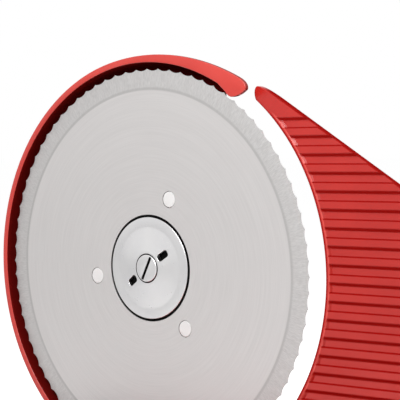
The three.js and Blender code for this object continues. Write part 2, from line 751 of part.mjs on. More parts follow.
function makeBladeAxle() {
  const tapRadius = SCREW_SHANK_RADIUS + SEAT_GAP;
  const tapEnd = screwFace + SCREW_HEAD_THICKNESS + SCREW_LENGTH + OVERRUN;
  const groove = AXLE_RADIUS - CLIP_GROOVE_DEPTH;
  const front = hubFace;
  const clipBack = clipFront + CLIP_THICKNESS + SEAT_GAP;
  return turned([
    [0, tapEnd],
    [tapRadius, tapEnd],
    [tapRadius, front],
    [AXLE_RADIUS, front],
    [AXLE_RADIUS, clipFront - SEAT_GAP],
    [groove, clipFront - SEAT_GAP],
    [groove, clipBack],
    [AXLE_RADIUS, clipBack],
    [AXLE_RADIUS, axleEnd],
    [0, axleEnd],
  ]);
}

function makeAxleClip() {
  const inner = AXLE_RADIUS - CLIP_GROOVE_DEPTH + SEAT_GAP;
  const back = clipFront + CLIP_THICKNESS;
  const ring = sleeve(inner, inner + CLIP_WIDTH, clipFront, back);
  const reach = inner + CLIP_WIDTH + OVERRUN;
  const mouth = [[0, 0], polar(reach, -90 - CLIP_MOUTH_ANGLE / 2), polar(reach, -90), polar(reach, CLIP_MOUTH_ANGLE / 2 - 90)];
  return cut(ring, slab(outlineOf(mouth), clipFront - OVERRUN, back + OVERRUN));
}

function makeBush(x, z, bossEnd) {
  const bore = AXLE_RADIUS + RUNNING_GAP;
  const flangeBack = bushFront + BUSH_FLANGE_THICKNESS;
  return turned(
    [
      [bore, bushFront],
      [BUSH_FLANGE_RADIUS, bushFront],
      [BUSH_FLANGE_RADIUS, flangeBack],
      [bushRadius, flangeBack],
      [bushRadius, bossEnd - SEAT_GAP],
      [bore, bossEnd - SEAT_GAP],
      [bore, bushFront],
    ],
    x,
    z,
  );
}

function makeCrankGear() {
  const outline = gearOutline(GEAR_TEETH, CRANK_BEARING_ANGLE - 180);
  const web = GEAR_WIDTH / 4;
  const rimInner = pitchRadius(GEAR_TEETH) - 3 * GEAR_MODULE;
  const recess = (front, back) => sleeve(GEAR_BOSS_RADIUS, rimInner, front, back, 0, 0, PLAIN_FACETS);
  const recesses = [recess(gearFront - OVERRUN, gearFront + web), recess(gearBack - web, gearBack + OVERRUN)];
  const bore = pin(AXLE_RADIUS + SEAT_GAP, gearFront - OVERRUN, gearBack + OVERRUN);
  return cut(slab(outline, gearFront, gearBack), ...recesses, bore).translate(crankX, 0, crankZ);
}

// Housing

// The guard's section: a wall of even thickness that bends from the rim into the pan's floor.
function guardProfile() {
  const bendRadius = guardOuter - PAN_ROUND;
  const bendY = floorBack - PAN_ROUND;
  const floorEnd = bendRadius - FLOOR_WIDTH;
  return [
    [guardInner, guardFront],
    [guardOuter - GUARD_CHAMFER, guardFront],
    [guardOuter, guardFront + GUARD_CHAMFER],
    ...arc(bendRadius, bendY, PAN_ROUND, 0, 90),
    [floorEnd, floorBack],
    [floorEnd, floorFront],
    ...arc(bendRadius, bendY, PAN_ROUND - HOUSING_WALL, 90, 0),
  ];
}

// The guard's finger: it swells towards its nose, and its inner corner comes close to the blade's edge.
function fingerOutline() {
  const span = FINGER_FROM_ANGLE - FINGER_SWELL_END_ANGLE;
  const outline = new THREE.Shape();
  outline.moveTo(...polar(guardOuter, FINGER_FROM_ANGLE));
  for (let step = 1; step <= FINGER_STEPS; step++) {
    const share = step / FINGER_STEPS;
    const radius = guardOuter + FINGER_SWELL * share ** FINGER_SWELL_POWER;
    outline.lineTo(...polar(radius, FINGER_FROM_ANGLE - span * share));
  }
  const shoulder = polar(guardOuter + FINGER_SHOULDER_REACH, FINGER_SHOULDER_ANGLE);
  const nose = polar(guardOuter + FINGER_NOSE_REACH, FINGER_NOSE_ANGLE);
  const chin = polar(guardOuter - FINGER_CHIN_DROP, FINGER_CHIN_ANGLE);
  const corner = polar(BLADE_RADIUS + FINGER_EDGE_CLEARANCE, FINGER_CORNER_ANGLE);
  outline.quadraticCurveTo(...shoulder, ...nose);
  outline.quadraticCurveTo(...chin, ...corner);
  const inner = arc(0, 0, guardInner, GUARD_FROM_ANGLE, FINGER_FROM_ANGLE, FINGER_STEPS);
  inner.forEach((point) => outline.lineTo(...point));
  return outline;
}

// The wedge that thins the guard's wall from behind, towards the finger's nose.
function taperWedge() {
  const [fromX] = polar(guardOuter, TAPER_FROM_ANGLE);
  const [toX] = polar(guardOuter, TAPER_TO_ANGLE);
  const outline = outlineOf([
    [fromX, floorBack + OVERRUN],
    [toX, guardFront + FINGER_THICKNESS],
    [guardOuter, guardFront + FINGER_THICKNESS],
    [guardOuter, floorBack + OVERRUN],
  ]);
  return raised(outline, guardOuter - TAPER_DROP, guardOuter + FINGER_SWELL + OVERRUN);
}

// The pan's floor behind the blade. It stops short on the right, where the slices fall.
function floorOutline() {
  const reach = guardOuter - PAN_ROUND;
  const points = arc(0, 0, reach, GUARD_FROM_ANGLE, GUARD_TO_ANGLE, FLOOR_STEPS);
  const outline = outlineOf(points);
  const [topX, topZ] = points[0];
  outline.quadraticCurveTo(HUB_POCKET_RADIUS + HOUSING_WALL + FLOOR_WAIST_MARGIN, 0, topX, topZ);
  return outline;
}

// The gear pocket's outside, from its rounded back to the pan's floor.
function pocketRings() {
  const ring = (y, inset) =>
    bandPoints(
      crankX,
      crankZ,
      gearPocketRadius + HOUSING_WALL - inset,
      0,
      0,
      HUB_POCKET_RADIUS + HOUSING_WALL - inset,
    ).map(([x, z]) => [x, y, z]);
  const bend = arc(0, 0, POCKET_ROUND, 90, 0).map(([reach, rise]) =>
    ring(housingBack - POCKET_ROUND + rise, POCKET_ROUND - reach),
  );
  return [...bend, ring(floorFront, 0)];
}

function boss(x, z, end) {
  const foot = housingBack - HOUSING_WALL / 2;
  const fillet = arc(BOSS_RADIUS + BOSS_FILLET, housingBack + BOSS_FILLET, BOSS_FILLET, 270, 180);
  const edge = GUARD_CHAMFER;
  const profile = [[0, foot], [BOSS_RADIUS + BOSS_FILLET, foot], ...fillet];
  profile.push([BOSS_RADIUS, end - edge], [BOSS_RADIUS - edge, end], [0, end]);
  return turned(profile, x, z, PLAIN_FACETS);
}

const pedestalBottom = baseTop + SEAT_GAP;
const pedestalTop = -HUB_POCKET_RADIUS - HOUSING_WALL - PEDESTAL_POCKET_GAP;
const pedestalBack = floorFront + PEDESTAL_DEPTH;
const flangeTop = pedestalBottom + PEDESTAL_FLANGE_HEIGHT;

function pedestalOutline(bottom, inset) {
  return roundedOutline([
    [PEDESTAL_LEFT + inset, bottom, 0],
    [PEDESTAL_RIGHT - inset, bottom, 0],
    [PEDESTAL_RIGHT - PEDESTAL_RIGHT_LEAN - inset, pedestalTop - inset, PEDESTAL_CORNER],
    [PEDESTAL_LEFT + PEDESTAL_LEFT_LEAN + inset, pedestalTop - inset, PEDESTAL_CORNER],
  ]);
}

// The pedestal: a front wall and sides of even thickness, open behind between its ribs.
function pedestal() {
  const shell = cut(
    slab(pedestalOutline(pedestalBottom, 0), floorFront, pedestalBack),
    slab(pedestalOutline(flangeTop, HOUSING_WALL), floorBack, pedestalBack + OVERRUN),
  );
  const ribs = Array.from({ length: PEDESTAL_RIBS }, (_, i) => {
    const x = PEDESTAL_LEFT + ((PEDESTAL_RIGHT - PEDESTAL_LEFT) * (i + 1)) / (PEDESTAL_RIBS + 1);
    const half = HOUSING_WALL / 2;
    const outline = roundedBox(x - half, flangeTop - OVERRUN, x + half, pedestalTop - half, 0);
    return slab(outline, floorBack - OVERRUN, pedestalBack - HOUSING_WALL);
  });
  const flange = raised(
    roundedBox(
      PEDESTAL_LEFT - PEDESTAL_FLANGE_REACH,
      floorFront - PEDESTAL_FLANGE_REACH,
      PEDESTAL_RIGHT + PEDESTAL_FLANGE_REACH,
      pedestalBack + PEDESTAL_FLANGE_REACH / 2,
      PEDESTAL_FLANGE_REACH,
    ),
    pedestalBottom,
    flangeTop,
  );
  return joined(shell, ...ribs, flange);
}

function makeHousing() {
  const guard = cut(sweptRound(guardProfile(), GUARD_FROM_ANGLE, GUARD_TO_ANGLE, GUARD_STEPS), taperWedge());
  const finger = chamfered(fingerOutline(), guardFront, guardFront + FINGER_THICKNESS, GUARD_CHAMFER);
  const floor = cut(slab(floorOutline(), floorFront, floorBack), taperWedge());
  const body = joined(
    guard,
    finger,
    floor,
    lofted(pocketRings()),
    pedestal(),
    boss(0, 0, axleBossEnd + CAP_SEAT_DEPTH),
    boss(crankX, crankZ, crankBossEnd),
  );
  const hollow = bandPoints(crankX, crankZ, gearPocketRadius, 0, 0, HUB_POCKET_RADIUS);
  const seat = bushRadius + SEAT_GAP;
  const screwHole = SHIELD_SCREW_SHANK + SEAT_GAP;
  const fixingHole = FOOT_SCREW_RADIUS + SEAT_GAP;
  return cut(
    body,
    slab(outlineOf(hollow), floorFront - OVERRUN, pocketBack),
    pin(seat, pocketBack - OVERRUN, axleBossEnd + OVERRUN),
    pin(BOSS_RADIUS - HOUSING_WALL, axleBossEnd, axleBossEnd + CAP_SEAT_DEPTH + OVERRUN),
    pin(seat, pocketBack - OVERRUN, crankBossEnd + OVERRUN, crankX, crankZ),
    ...shieldScrewPlaces().map(([x, z]) =>
      pin(screwHole, floorFront - OVERRUN, floorBack + OVERRUN, x, z, SMALL_FACETS),
    ),
    ...pedestalScrewPlaces().map(([x, y]) =>
      uprightPin(fixingHole, baseTop - OVERRUN, fixingScrewTop + SEAT_GAP, x, y, SMALL_FACETS),
    ),
  );
}

function makeAxleCap() {
  const seat = axleBossEnd + CAP_SEAT_DEPTH;
  const spigot = BOSS_RADIUS - HOUSING_WALL - SEAT_GAP;
  const inner = spigot - AXLE_CAP_SPIGOT;
  const top = seat + SEAT_GAP + AXLE_CAP_THICKNESS;
  const inside = axleEnd + SEAT_GAP;
  return turned([
    [0, inside],
    [inner, inside],
    [inner, seat - AXLE_CAP_SPIGOT],
    [spigot, seat - AXLE_CAP_SPIGOT],
    [spigot, seat + SEAT_GAP],
    [BOSS_RADIUS, seat + SEAT_GAP],
    [BOSS_RADIUS - AXLE_CAP_THICKNESS / 2, top - AXLE_CAP_THICKNESS / 4],
    [BOSS_RADIUS / 2, top],
    [0, top],
  ]);
}

// Gear shield

const shieldBack = floorFront - SEAT_GAP;
const shieldFront = shieldBack - SHIELD_THICKNESS;

// The screws stand outside the pocket's wall: one beside the pinion and two round the crank gear.
function shieldScrewPlaces() {
  const aroundGear = GEAR_SHIELD_SCREW_ANGLES.map((degrees) => {
    const [x, z] = polar(gearPocketRadius + SHIELD_EAR_REACH, degrees);
    return [crankX + x, crankZ + z];
  });
  return [polar(HUB_POCKET_RADIUS + SHIELD_EAR_REACH, HUB_SHIELD_SCREW_ANGLE), ...aroundGear];
}

function makeGearShield() {
  const outline = bandPoints(
    crankX,
    crankZ,
    gearPocketRadius + SHIELD_LAP,
    0,
    0,
    HUB_POCKET_RADIUS + SHIELD_LAP,
  );
  const ears = shieldScrewPlaces().map(([x, z]) =>
    pin(SHIELD_EAR_RADIUS, shieldFront, shieldBack, x, z, COARSE_FACETS),
  );
  const sheet = joined(slab(outlineOf(outline), shieldFront, shieldBack), ...ears);
  const neckHole = pin(
    pitchRadius(PINION_TEETH) + GEAR_MODULE + SEAT_GAP,
    shieldFront - OVERRUN,
    shieldBack + OVERRUN,
  );
  const screwHoles = shieldScrewPlaces().map(([x, z]) =>
    pin(SHIELD_SCREW_SHANK + SEAT_GAP, shieldFront - OVERRUN, shieldBack + OVERRUN, x, z, SMALL_FACETS),
  );
  return cut(sheet, neckHole, ...screwHoles);
}

function makeShieldScrew(x, z) {
  const headBack = shieldFront - SEAT_GAP;
  const headFront = headBack - SHIELD_SCREW_HEAD;
  return turned(
    [
      [0, headFront],
      [SHIELD_SCREW_RADIUS * 0.75, headFront],
      [SHIELD_SCREW_RADIUS, headFront + SHIELD_SCREW_HEAD / 2],
      [SHIELD_SCREW_RADIUS, headBack],
      [SHIELD_SCREW_SHANK, headBack],
      [SHIELD_SCREW_SHANK, floorBack - SEAT_GAP],
      [0, floorBack - SEAT_GAP],
    ],
    x,
    z,
    SCREW_FACETS,
  );
}

// Base and feet

const baseInnerTop = baseTop - BASE_WALL;
const fixingScrewTop = baseTop + FIXING_SCREW_REACH;

function pedestalScrewPlaces() {
  const y = (floorFront + pedestalBack) / 2;
  return [PEDESTAL_LEFT + FIXING_SCREW_INSET, PEDESTAL_RIGHT - FIXING_SCREW_INSET].map((x) => [x, y]);
}

function blockScrewPlaces() {
  const y = blockFront + FIXING_SCREW_INSET / 2;
  return [-1, 1].map((side) => [adjusterX + side * GUIDE_ROD_SPREAD, y]);
}

function railScrewPlaces() {
  return [railLeft, railRight].map((x) => [x, (INNER_RAIL_Y + OUTER_RAIL_Y) / 2]);
}

function footPlaces() {
  const left = BASE_LEFT + FOOT_INSET;
  const right = BASE_RIGHT - FOOT_INSET;
  const front = BASE_FRONT + FOOT_INSET;
  const back = BASE_BACK - FOOT_INSET;
  return [
    [left, front],
    [right, front],
    [right, back],
    [left, back],
  ];
}

function makeBase() {
  const outer = (inset) =>
    roundedBox(
      BASE_LEFT + inset,
      BASE_FRONT + inset,
      BASE_RIGHT - inset,
      BASE_BACK - inset,
      BASE_CORNER - inset,
    );
  const ringPoints = (inset, z) => outer(inset).getPoints(CURVE_FACETS).slice(0, -1).map(({ x, y }) => [x, y, z]);
  const bend = arc(0, 0, BASE_TOP_ROUND, 0, 90, FILLET_FACETS - 2).map(([reach, rise]) =>
    ringPoints(BASE_TOP_ROUND - reach, baseTop - BASE_TOP_ROUND + rise),
  );
  const shell = lofted([ringPoints(0, baseBottom), ...bend]);
  const hollow = raised(outer(BASE_WALL), baseBottom - OVERRUN, baseInnerTop);
  const ribTop = baseInnerTop + BASE_WALL / 2;
  const ribBottom = baseBottom + BASE_WALL;
  const middleY = (BASE_FRONT + BASE_BACK) / 2;
  const lengthRib = raised(
    roundedBox(BASE_LEFT + BASE_WALL / 2, middleY - BASE_RIB / 2, BASE_RIGHT - BASE_WALL / 2, middleY + BASE_RIB / 2, 0),
    ribBottom,
    ribTop,
  );
  const crossRibs = Array.from({ length: BASE_CROSS_RIBS }, (_, i) => {
    const x = BASE_LEFT + ((BASE_RIGHT - BASE_LEFT) * (i + 1)) / (BASE_CROSS_RIBS + 1);
    return raised(
      roundedBox(x - BASE_RIB / 2, BASE_FRONT + BASE_WALL / 2, x + BASE_RIB / 2, BASE_BACK - BASE_WALL / 2, 0),
      ribBottom,
      ribTop,
    );
  });
  const footBosses = footPlaces().map(([x, y]) =>
    uprightPin(FOOT_BOSS_RADIUS, baseBottom, ribTop, x, y, SMALL_FACETS),
  );
  const footHoles = footPlaces().map(([x, y]) =>
    uprightPin(FOOT_SCREW_RADIUS + SEAT_GAP, baseBottom - OVERRUN, baseInnerTop, x, y, SMALL_FACETS),
  );
  const fixingPlaces = [...pedestalScrewPlaces(), ...blockScrewPlaces(), ...railScrewPlaces()];
  const fixingHoles = fixingPlaces.map(([x, y]) =>
    uprightPin(FOOT_SCREW_RADIUS + SEAT_GAP, baseInnerTop - OVERRUN, baseTop + OVERRUN, x, y, SMALL_FACETS),
  );
  return cut(joined(cut(shell, hollow), lengthRib, ...crossRibs, ...footBosses), ...footHoles, ...fixingHoles);
}

function makeFixingScrew(x, y) {
  const headTop = baseInnerTop - SEAT_GAP;
  const headBottom = headTop - FOOT_SCREW_HEAD;
  return turnedUpright(
    [
      [0, headBottom],
      [FOOT_SCREW_HEAD_RADIUS * 0.8, headBottom],
      [FOOT_SCREW_HEAD_RADIUS, headBottom + FOOT_SCREW_HEAD / 2],
      [FOOT_SCREW_HEAD_RADIUS, headTop],
      [FOOT_SCREW_RADIUS, headTop],
      [FOOT_SCREW_RADIUS, fixingScrewTop],
      [0, fixingScrewTop],
    ],
    x,
    y,
    SCREW_FACETS,
  );
}

const footTop = baseBottom - SEAT_GAP;
const footRecess = floorLevel + FOOT_HOLLOW;

function makeFoot(x, y) {
  const bore = FOOT_SCREW_RADIUS + SEAT_GAP;
  const counterbore = FOOT_SCREW_HEAD_RADIUS + SEAT_GAP;
  const headSeat = footRecess + FOOT_SCREW_HEAD + SEAT_GAP;
  const waist = (footTop + floorLevel) / 2;
  return turnedUpright(
    [
      [bore, headSeat],
      [counterbore, headSeat],
      [counterbore, footRecess],
      [FOOT_RADIUS - FOOT_LIP, floorLevel],
      [FOOT_RADIUS, floorLevel],
      [FOOT_RADIUS, floorLevel + FOOT_LIP / 2],
      [FOOT_NECK_RADIUS + FOOT_LIP, waist],
      [FOOT_NECK_RADIUS, waist + FOOT_LIP],
      [FOOT_NECK_RADIUS, footTop],
      [bore, footTop],
      [bore, headSeat],
    ],
    x,
    y,
    COARSE_FACETS,
  );
}

function makeFootScrew(x, y) {
  const headTop = footRecess + FOOT_SCREW_HEAD;
  return turnedUpright(
    [
      [0, footRecess],
      [FOOT_SCREW_HEAD_RADIUS * 0.8, footRecess],
      [FOOT_SCREW_HEAD_RADIUS, footRecess + FOOT_SCREW_HEAD / 2],
      [FOOT_SCREW_HEAD_RADIUS, headTop],
      [FOOT_SCREW_RADIUS, headTop],
      [FOOT_SCREW_RADIUS, baseInnerTop - OVERRUN],
      [0, baseInnerTop - OVERRUN],
    ],
    x,
    y,
    SCREW_FACETS,
  );
}

// Crank

const squareFront = armFront - SEAT_GAP;
const gripFront = armFront + ARM_THICKNESS + GRIP_END_GAP;
const gripBack = gripFront + GRIP_LENGTH;
const gripZ = floorLevel + GRIP_FLOOR_GAP + GRIP_BELLY_RADIUS;

function squarePrism(side, front, back, x, z) {
  const half = side / 2;
  return slab(roundedBox(x - half, z - half, x + half, z + half, 0), front, back);
}

function makeCrankShaft() {
  const headFront = gearFront - SEAT_GAP - SHAFT_HEAD_THICKNESS;
  const threadEnd = armBack + SEAT_GAP + NUT_HEIGHT;
  const body = turned(
    [
      [0, headFront],
      [SHAFT_HEAD_RADIUS, headFront],
      [SHAFT_HEAD_RADIUS, gearFront - SEAT_GAP],
      [AXLE_RADIUS, gearFront - SEAT_GAP],
      [AXLE_RADIUS, squareFront],
      [0, squareFront],
    ],
    crankX,
    crankZ,
  );
  const square = squarePrism(SHAFT_SQUARE, squareFront - OVERRUN, armBack, crankX, crankZ);
  const thread = pin(SHAFT_SQUARE / 2, armBack - OVERRUN, threadEnd, crankX, crankZ, SMALL_FACETS);
  return joined(body, square, thread);
}

function makeCrankArm() {
  const barBack = armFront + ARM_THICKNESS;
  const bar = bandPoints(crankX, crankZ, ARM_HUB_RADIUS, crankX, gripZ, ARM_END_RADIUS);
  const hub = pin(ARM_HUB_RADIUS, armFront, armBack, crankX, crankZ, PLAIN_FACETS);
  const squareHole = squarePrism(SHAFT_SQUARE + 2 * SEAT_GAP, armFront - OVERRUN, armBack + OVERRUN, crankX, crankZ);
  const pinHole = pin(GRIP_PIN_RADIUS + SEAT_GAP, armFront - OVERRUN, barBack + OVERRUN, crankX, gripZ, SMALL_FACETS);
  const headSeat = pin(
    GRIP_PIN_HEAD_RADIUS + SEAT_GAP,
    armFront - OVERRUN,
    armFront + GRIP_PIN_HEAD,
    crankX,
    gripZ,
    SMALL_FACETS,
  );
  return cut(joined(slab(outlineOf(bar), armFront, barBack), hub), squareHole, pinHole, headSeat);
}

function makeCrankNut() {
  const front = armBack + SEAT_GAP;
  const flat = front + NUT_HEIGHT;
  const hexagon = outlineOf(arc(crankX, crankZ, NUT_ACROSS_CORNERS_RADIUS, 0, 300, 5));
  const dome = [[0, flat - OVERRUN], [NUT_DOME_RADIUS, flat - OVERRUN]];
  arc(0, 0, 1, 0, 90).forEach(([reach, rise]) =>
    dome.push([NUT_DOME_RADIUS * reach, flat + NUT_DOME_HEIGHT * rise]),
  );
  const bore = pin(
    SHAFT_SQUARE / 2 + SEAT_GAP,
    front - OVERRUN,
    flat + SEAT_GAP,
    crankX,
    crankZ,
    SMALL_FACETS,
  );
  return cut(joined(slab(hexagon, front, flat), turned(dome, crankX, crankZ, SMALL_FACETS)), bore);
}

const pinTailFront = gripBack - GRIP_RECESS_DEPTH + SEAT_GAP;

function makeGripPin() {
  const head = armFront + SEAT_GAP / 3;
  const headBack = armFront + GRIP_PIN_HEAD - SEAT_GAP;
  return turned(
    [
      [0, head],
      [GRIP_PIN_HEAD_RADIUS, head],
      [GRIP_PIN_HEAD_RADIUS, headBack],
      [GRIP_PIN_RADIUS, headBack],
      [GRIP_PIN_RADIUS, pinTailFront],
      [GRIP_PIN_HEAD_RADIUS, pinTailFront],
      [GRIP_PIN_HEAD_RADIUS, pinTailFront + GRIP_PIN_HEAD],
      [0, pinTailFront + GRIP_PIN_HEAD],
    ],
    crankX,
    gripZ,
    SMALL_FACETS,
  );
}

function makeCrankGrip() {
  const bore = GRIP_PIN_RADIUS + RUNNING_GAP;
  const recessFloor = gripBack - GRIP_RECESS_DEPTH;
  const bellyShares = [0, 0.12, 0.3, 0.5, 0.7, 0.86, 1];
  const side = bellyShares.map((share) => {
    const ends = GRIP_NECK_RADIUS + (GRIP_TAIL_RADIUS - GRIP_NECK_RADIUS) * share;
    const belly = (GRIP_BELLY_RADIUS - (GRIP_NECK_RADIUS + GRIP_TAIL_RADIUS) / 2) * Math.sin(Math.PI * share);
    return [ends + belly, gripFront + GRIP_LENGTH * share];
  });
  return turned(
    [
      [bore, gripFront],
      ...side,
      [GRIP_RECESS_RADIUS, gripBack],
      [GRIP_RECESS_RADIUS, recessFloor],
      [bore, recessFloor],
      [bore, gripFront],
    ],
    crankX,
    gripZ,
    ROUND_FACETS,
  );
}

function makeGripCap() {
  const spigot = GRIP_RECESS_RADIUS - SEAT_GAP;
  const spigotFront = pinTailFront + GRIP_PIN_HEAD + SEAT_GAP;
  const rim = gripBack + SEAT_GAP;
  const dome = arc(0, 0, 1, 0, 90).map(([reach, rise]) => [
    GRIP_TAIL_RADIUS * reach,
    rim + (GRIP_TAIL_RADIUS / 3) * rise,
  ]);
  return turned(
    [[0, spigotFront], [spigot, spigotFront], [spigot, rim], ...dome],
    crankX,
    gripZ,
    ROUND_FACETS,
  );
}

// Guide plate

const plateSlope = Math.tan(radians(PLATE_SLOPE_ANGLE));
const [tipEdgeX, tipEdgeLevel] = polar(plateInner, TIP_EDGE_ANGLE);
const slopeAtAxis = tipEdgeLevel + TIP_RISE + plateSlope * (tipEdgeX + TIP_WIDTH);

// The height of the plate's sloping top edge, inset at right angles to it.
function slopeTop(x, inset) {
  return slopeAtAxis - plateSlope * x - inset / Math.cos(radians(PLATE_SLOPE_ANGLE));
}

// The plate's outline: the hollow edge round the blade, the foot, the slope and the rounded tip.
function plateOutline(inset) {
  const bottom = plateBottom + inset;
  const right = plateRight - inset;
  const corner = Math.max(PLATE_CORNER - inset, PLATE_LEAST_CORNER);
  const tipLevel = tipEdgeLevel - inset * TIP_EDGE_DROP_SHARE;
  const reach = plateInner + inset;
  const angleAt = (z) => THREE.MathUtils.radToDeg(Math.asin(z / reach));
  const edge = arc(0, 0, reach, angleAt(tipLevel), angleAt(bottom), EDGE_FACETS);
  const slopePoint = (x) => [x, slopeTop(x, inset)];
  const [edgeX, edgeZ] = edge[0];
  const [handleX, handleZ] = polar(TIP_EDGE_HANDLE, angleAt(tipLevel) + 90);
  const tipEnd = edgeX + TIP_WIDTH;
  const tipHandle = tipEnd - TIP_SLOPE_HANDLE * Math.cos(radians(PLATE_SLOPE_ANGLE));
  const outline = new THREE.Shape();
  outline.moveTo(edgeX, edgeZ);
  edge.slice(1).forEach((point) => outline.lineTo(...point));
  outline.lineTo(right - corner, bottom);
  outline.quadraticCurveTo(right, bottom, right, bottom + corner);
  outline.lineTo(right, slopeTop(right, inset) - corner);
  outline.quadraticCurveTo(...slopePoint(right), ...slopePoint(right - corner));
  outline.lineTo(...slopePoint(tipEnd));
  outline.bezierCurveTo(...slopePoint(tipHandle), edgeX + handleX, edgeZ + handleZ, edgeX, edgeZ);
  return outline;
}

function chamfered(outline, front, back, chamfer) {
  const bevel = {
    bevelEnabled: true,
    bevelThickness: chamfer,
    bevelSize: chamfer,
    bevelOffset: -chamfer,
    bevelSegments: 1,
  };
  return slab(outline, front + chamfer, back - chamfer, bevel);
}

// The grooves in the plate's face: they end at a rim beside the blade and run out at the slope.
function plateGrooves() {
  const grooves = [];
  const left = plateInner / 2;
  for (let top = tipEdgeLevel - TIP_GROOVE_GAP; top - GROOVE_WIDTH > plateBottom; top -= GROOVE_PITCH) {
    const bottom = top - GROOVE_WIDTH;
    const floor = plateFace + GROOVE_DEPTH;
    const section = outlineOf([
      [plateFace - OVERRUN, bottom],
      [plateFace, bottom],
      [floor, bottom + GROOVE_BOTTOM_SLOPE],
      [floor, top - GROOVE_TOP_SLOPE],
      [plateFace, top],
      [plateFace - OVERRUN, top],
    ]);
    grooves.push(drawnOut(section, left, plateRight + OVERRUN));
  }
  const blocked = pin(plateInner + GROOVE_RIM, plateFace - 2 * OVERRUN, plateBack, 0, 0, FINE_FACETS);
  return cut(joined(...grooves), blocked);
}

// The walls behind the plate: a closed frame inside its edges and a web between the rod bosses.
function plateStiffener() {
  const front = plateBack - PLATE_THICKNESS / 2;
  const back = plateBack + STIFFENER_DEPTH;
  const frame = cut(
    slab(plateOutline(STIFFENER_INSET), front, back),
    slab(plateOutline(STIFFENER_INSET + STIFFENER_WALL), front - OVERRUN, back + OVERRUN),
  );
  const half = STIFFENER_WALL / 2;
  const web = slab(
    roundedBox(
      adjusterX - GUIDE_ROD_SPREAD,
      adjusterZ - half,
      adjusterX + GUIDE_ROD_SPREAD,
      adjusterZ + half,
      0,
    ),
    front,
    back,
  );
  return joined(frame, web);
}

function makeGuidePlate() {
  const sheet = cut(chamfered(plateOutline(0), plateFace, plateBack, PLATE_CHAMFER), plateGrooves());
  const front = plateBack - PLATE_THICKNESS / 2;
  const rodBossBack = plateBack + ROD_BOSS_DEPTH;
  const rodXs = [adjusterX - GUIDE_ROD_SPREAD, adjusterX + GUIDE_ROD_SPREAD];
  const boss = (x, back) => pin(PLATE_BOSS_RADIUS, front, back, x, adjusterZ, PLAIN_FACETS);
  const bosses = [...rodXs.map((x) => boss(x, rodBossBack)), boss(adjusterX, nutBossBack)];
  const rodSeats = rodXs.map((x) =>
    pin(GUIDE_ROD_RADIUS + SEAT_GAP, plateBack, rodBossBack + OVERRUN, x, adjusterZ),
  );
  const nutSeat = pin(SPINDLE_NUT_RADIUS + SEAT_GAP, plateBack, nutBossBack + OVERRUN, adjusterX, adjusterZ);
  return cut(joined(sheet, plateStiffener(), ...bosses), ...rodSeats, nutSeat);
}

function makeGuideRod(side) {
  const x = adjusterX + side * GUIDE_ROD_SPREAD;
  return pin(GUIDE_ROD_RADIUS, plateBack + SEAT_GAP, blockBack - GUIDE_ROD_SHORTFALL, x, adjusterZ);
}

function makeSpindleNut() {
  return sleeve(
    SPINDLE_RADIUS + SEAT_GAP,
    SPINDLE_NUT_RADIUS,
    plateBack + SEAT_GAP,
    nutBossBack,
    adjusterX,
    adjusterZ,
  );
}

// Slice adjuster

function makeAdjusterBlock() {
  const reach = GUIDE_ROD_SPREAD + BLOCK_MARGIN;
  const bottom = baseTop + SEAT_GAP;
  const body = slab(
    roundedOutline([
      [adjusterX - reach, bottom, 0],
      [adjusterX + reach, bottom, 0],
      [adjusterX + reach, adjusterZ + BLOCK_MARGIN, BLOCK_CORNER],
      [adjusterX - reach, adjusterZ + BLOCK_MARGIN, BLOCK_CORNER],
    ]),
    blockFront,
    blockBack,
  );
  const foot = slab(
    roundedBox(
      adjusterX - reach - BLOCK_FOOT_REACH,
      bottom,
      adjusterX + reach + BLOCK_FOOT_REACH,
      bottom + BLOCK_FOOT_HEIGHT,
      BLOCK_FOOT_HEIGHT / 4,
    ),
    blockFront,
    BASE_BACK - BASE_TOP_ROUND,
  );
  const through = (radius, x) => pin(radius, blockFront - OVERRUN, blockBack + OVERRUN, x, adjusterZ);
  const rodHoles = [-1, 1].map((side) =>
    through(GUIDE_ROD_RADIUS + RUNNING_GAP, adjusterX + side * GUIDE_ROD_SPREAD),
  );
  const nutPocket = pin(BLOCK_POCKET_RADIUS, blockFront - OVERRUN, blockPocketFloor, adjusterX, adjusterZ);
  const screwHoles = blockScrewPlaces().map(([x, y]) =>
    uprightPin(FOOT_SCREW_RADIUS + SEAT_GAP, bottom - OVERRUN, fixingScrewTop + SEAT_GAP, x, y, SMALL_FACETS),
  );
  const spindleHole = through(SPINDLE_RADIUS + RUNNING_GAP, adjusterX);
  return cut(joined(body, foot), ...rodHoles, spindleHole, nutPocket, ...screwHoles);
}

const knobFront = blockBack + SEAT_GAP;
const knobBack = knobFront + KNOB_SKIRT_HEIGHT + KNOB_GRIP_HEIGHT;
const spindleFront = plateBack + SLICE_RANGE_ROOM + SEAT_GAP;
const spindleEnd = knobFront + KNOB_SKIRT_HEIGHT + KNOB_GRIP_HEIGHT / 2;

function makeKnobSpindle() {
  const collarBack = blockPocketFloor - SEAT_GAP;
  const collarFront = collarBack - SPINDLE_COLLAR + SEAT_GAP;
  return turned(
    [
      [0, spindleFront],
      [SPINDLE_RADIUS, spindleFront],
      [SPINDLE_RADIUS, collarFront],
      [SPINDLE_COLLAR_RADIUS, collarFront],
      [SPINDLE_COLLAR_RADIUS, collarBack],
      [SPINDLE_RADIUS, collarBack],
      [SPINDLE_RADIUS, spindleEnd],
      [0, spindleEnd],
    ],
    adjusterX,
    adjusterZ,
  );
}

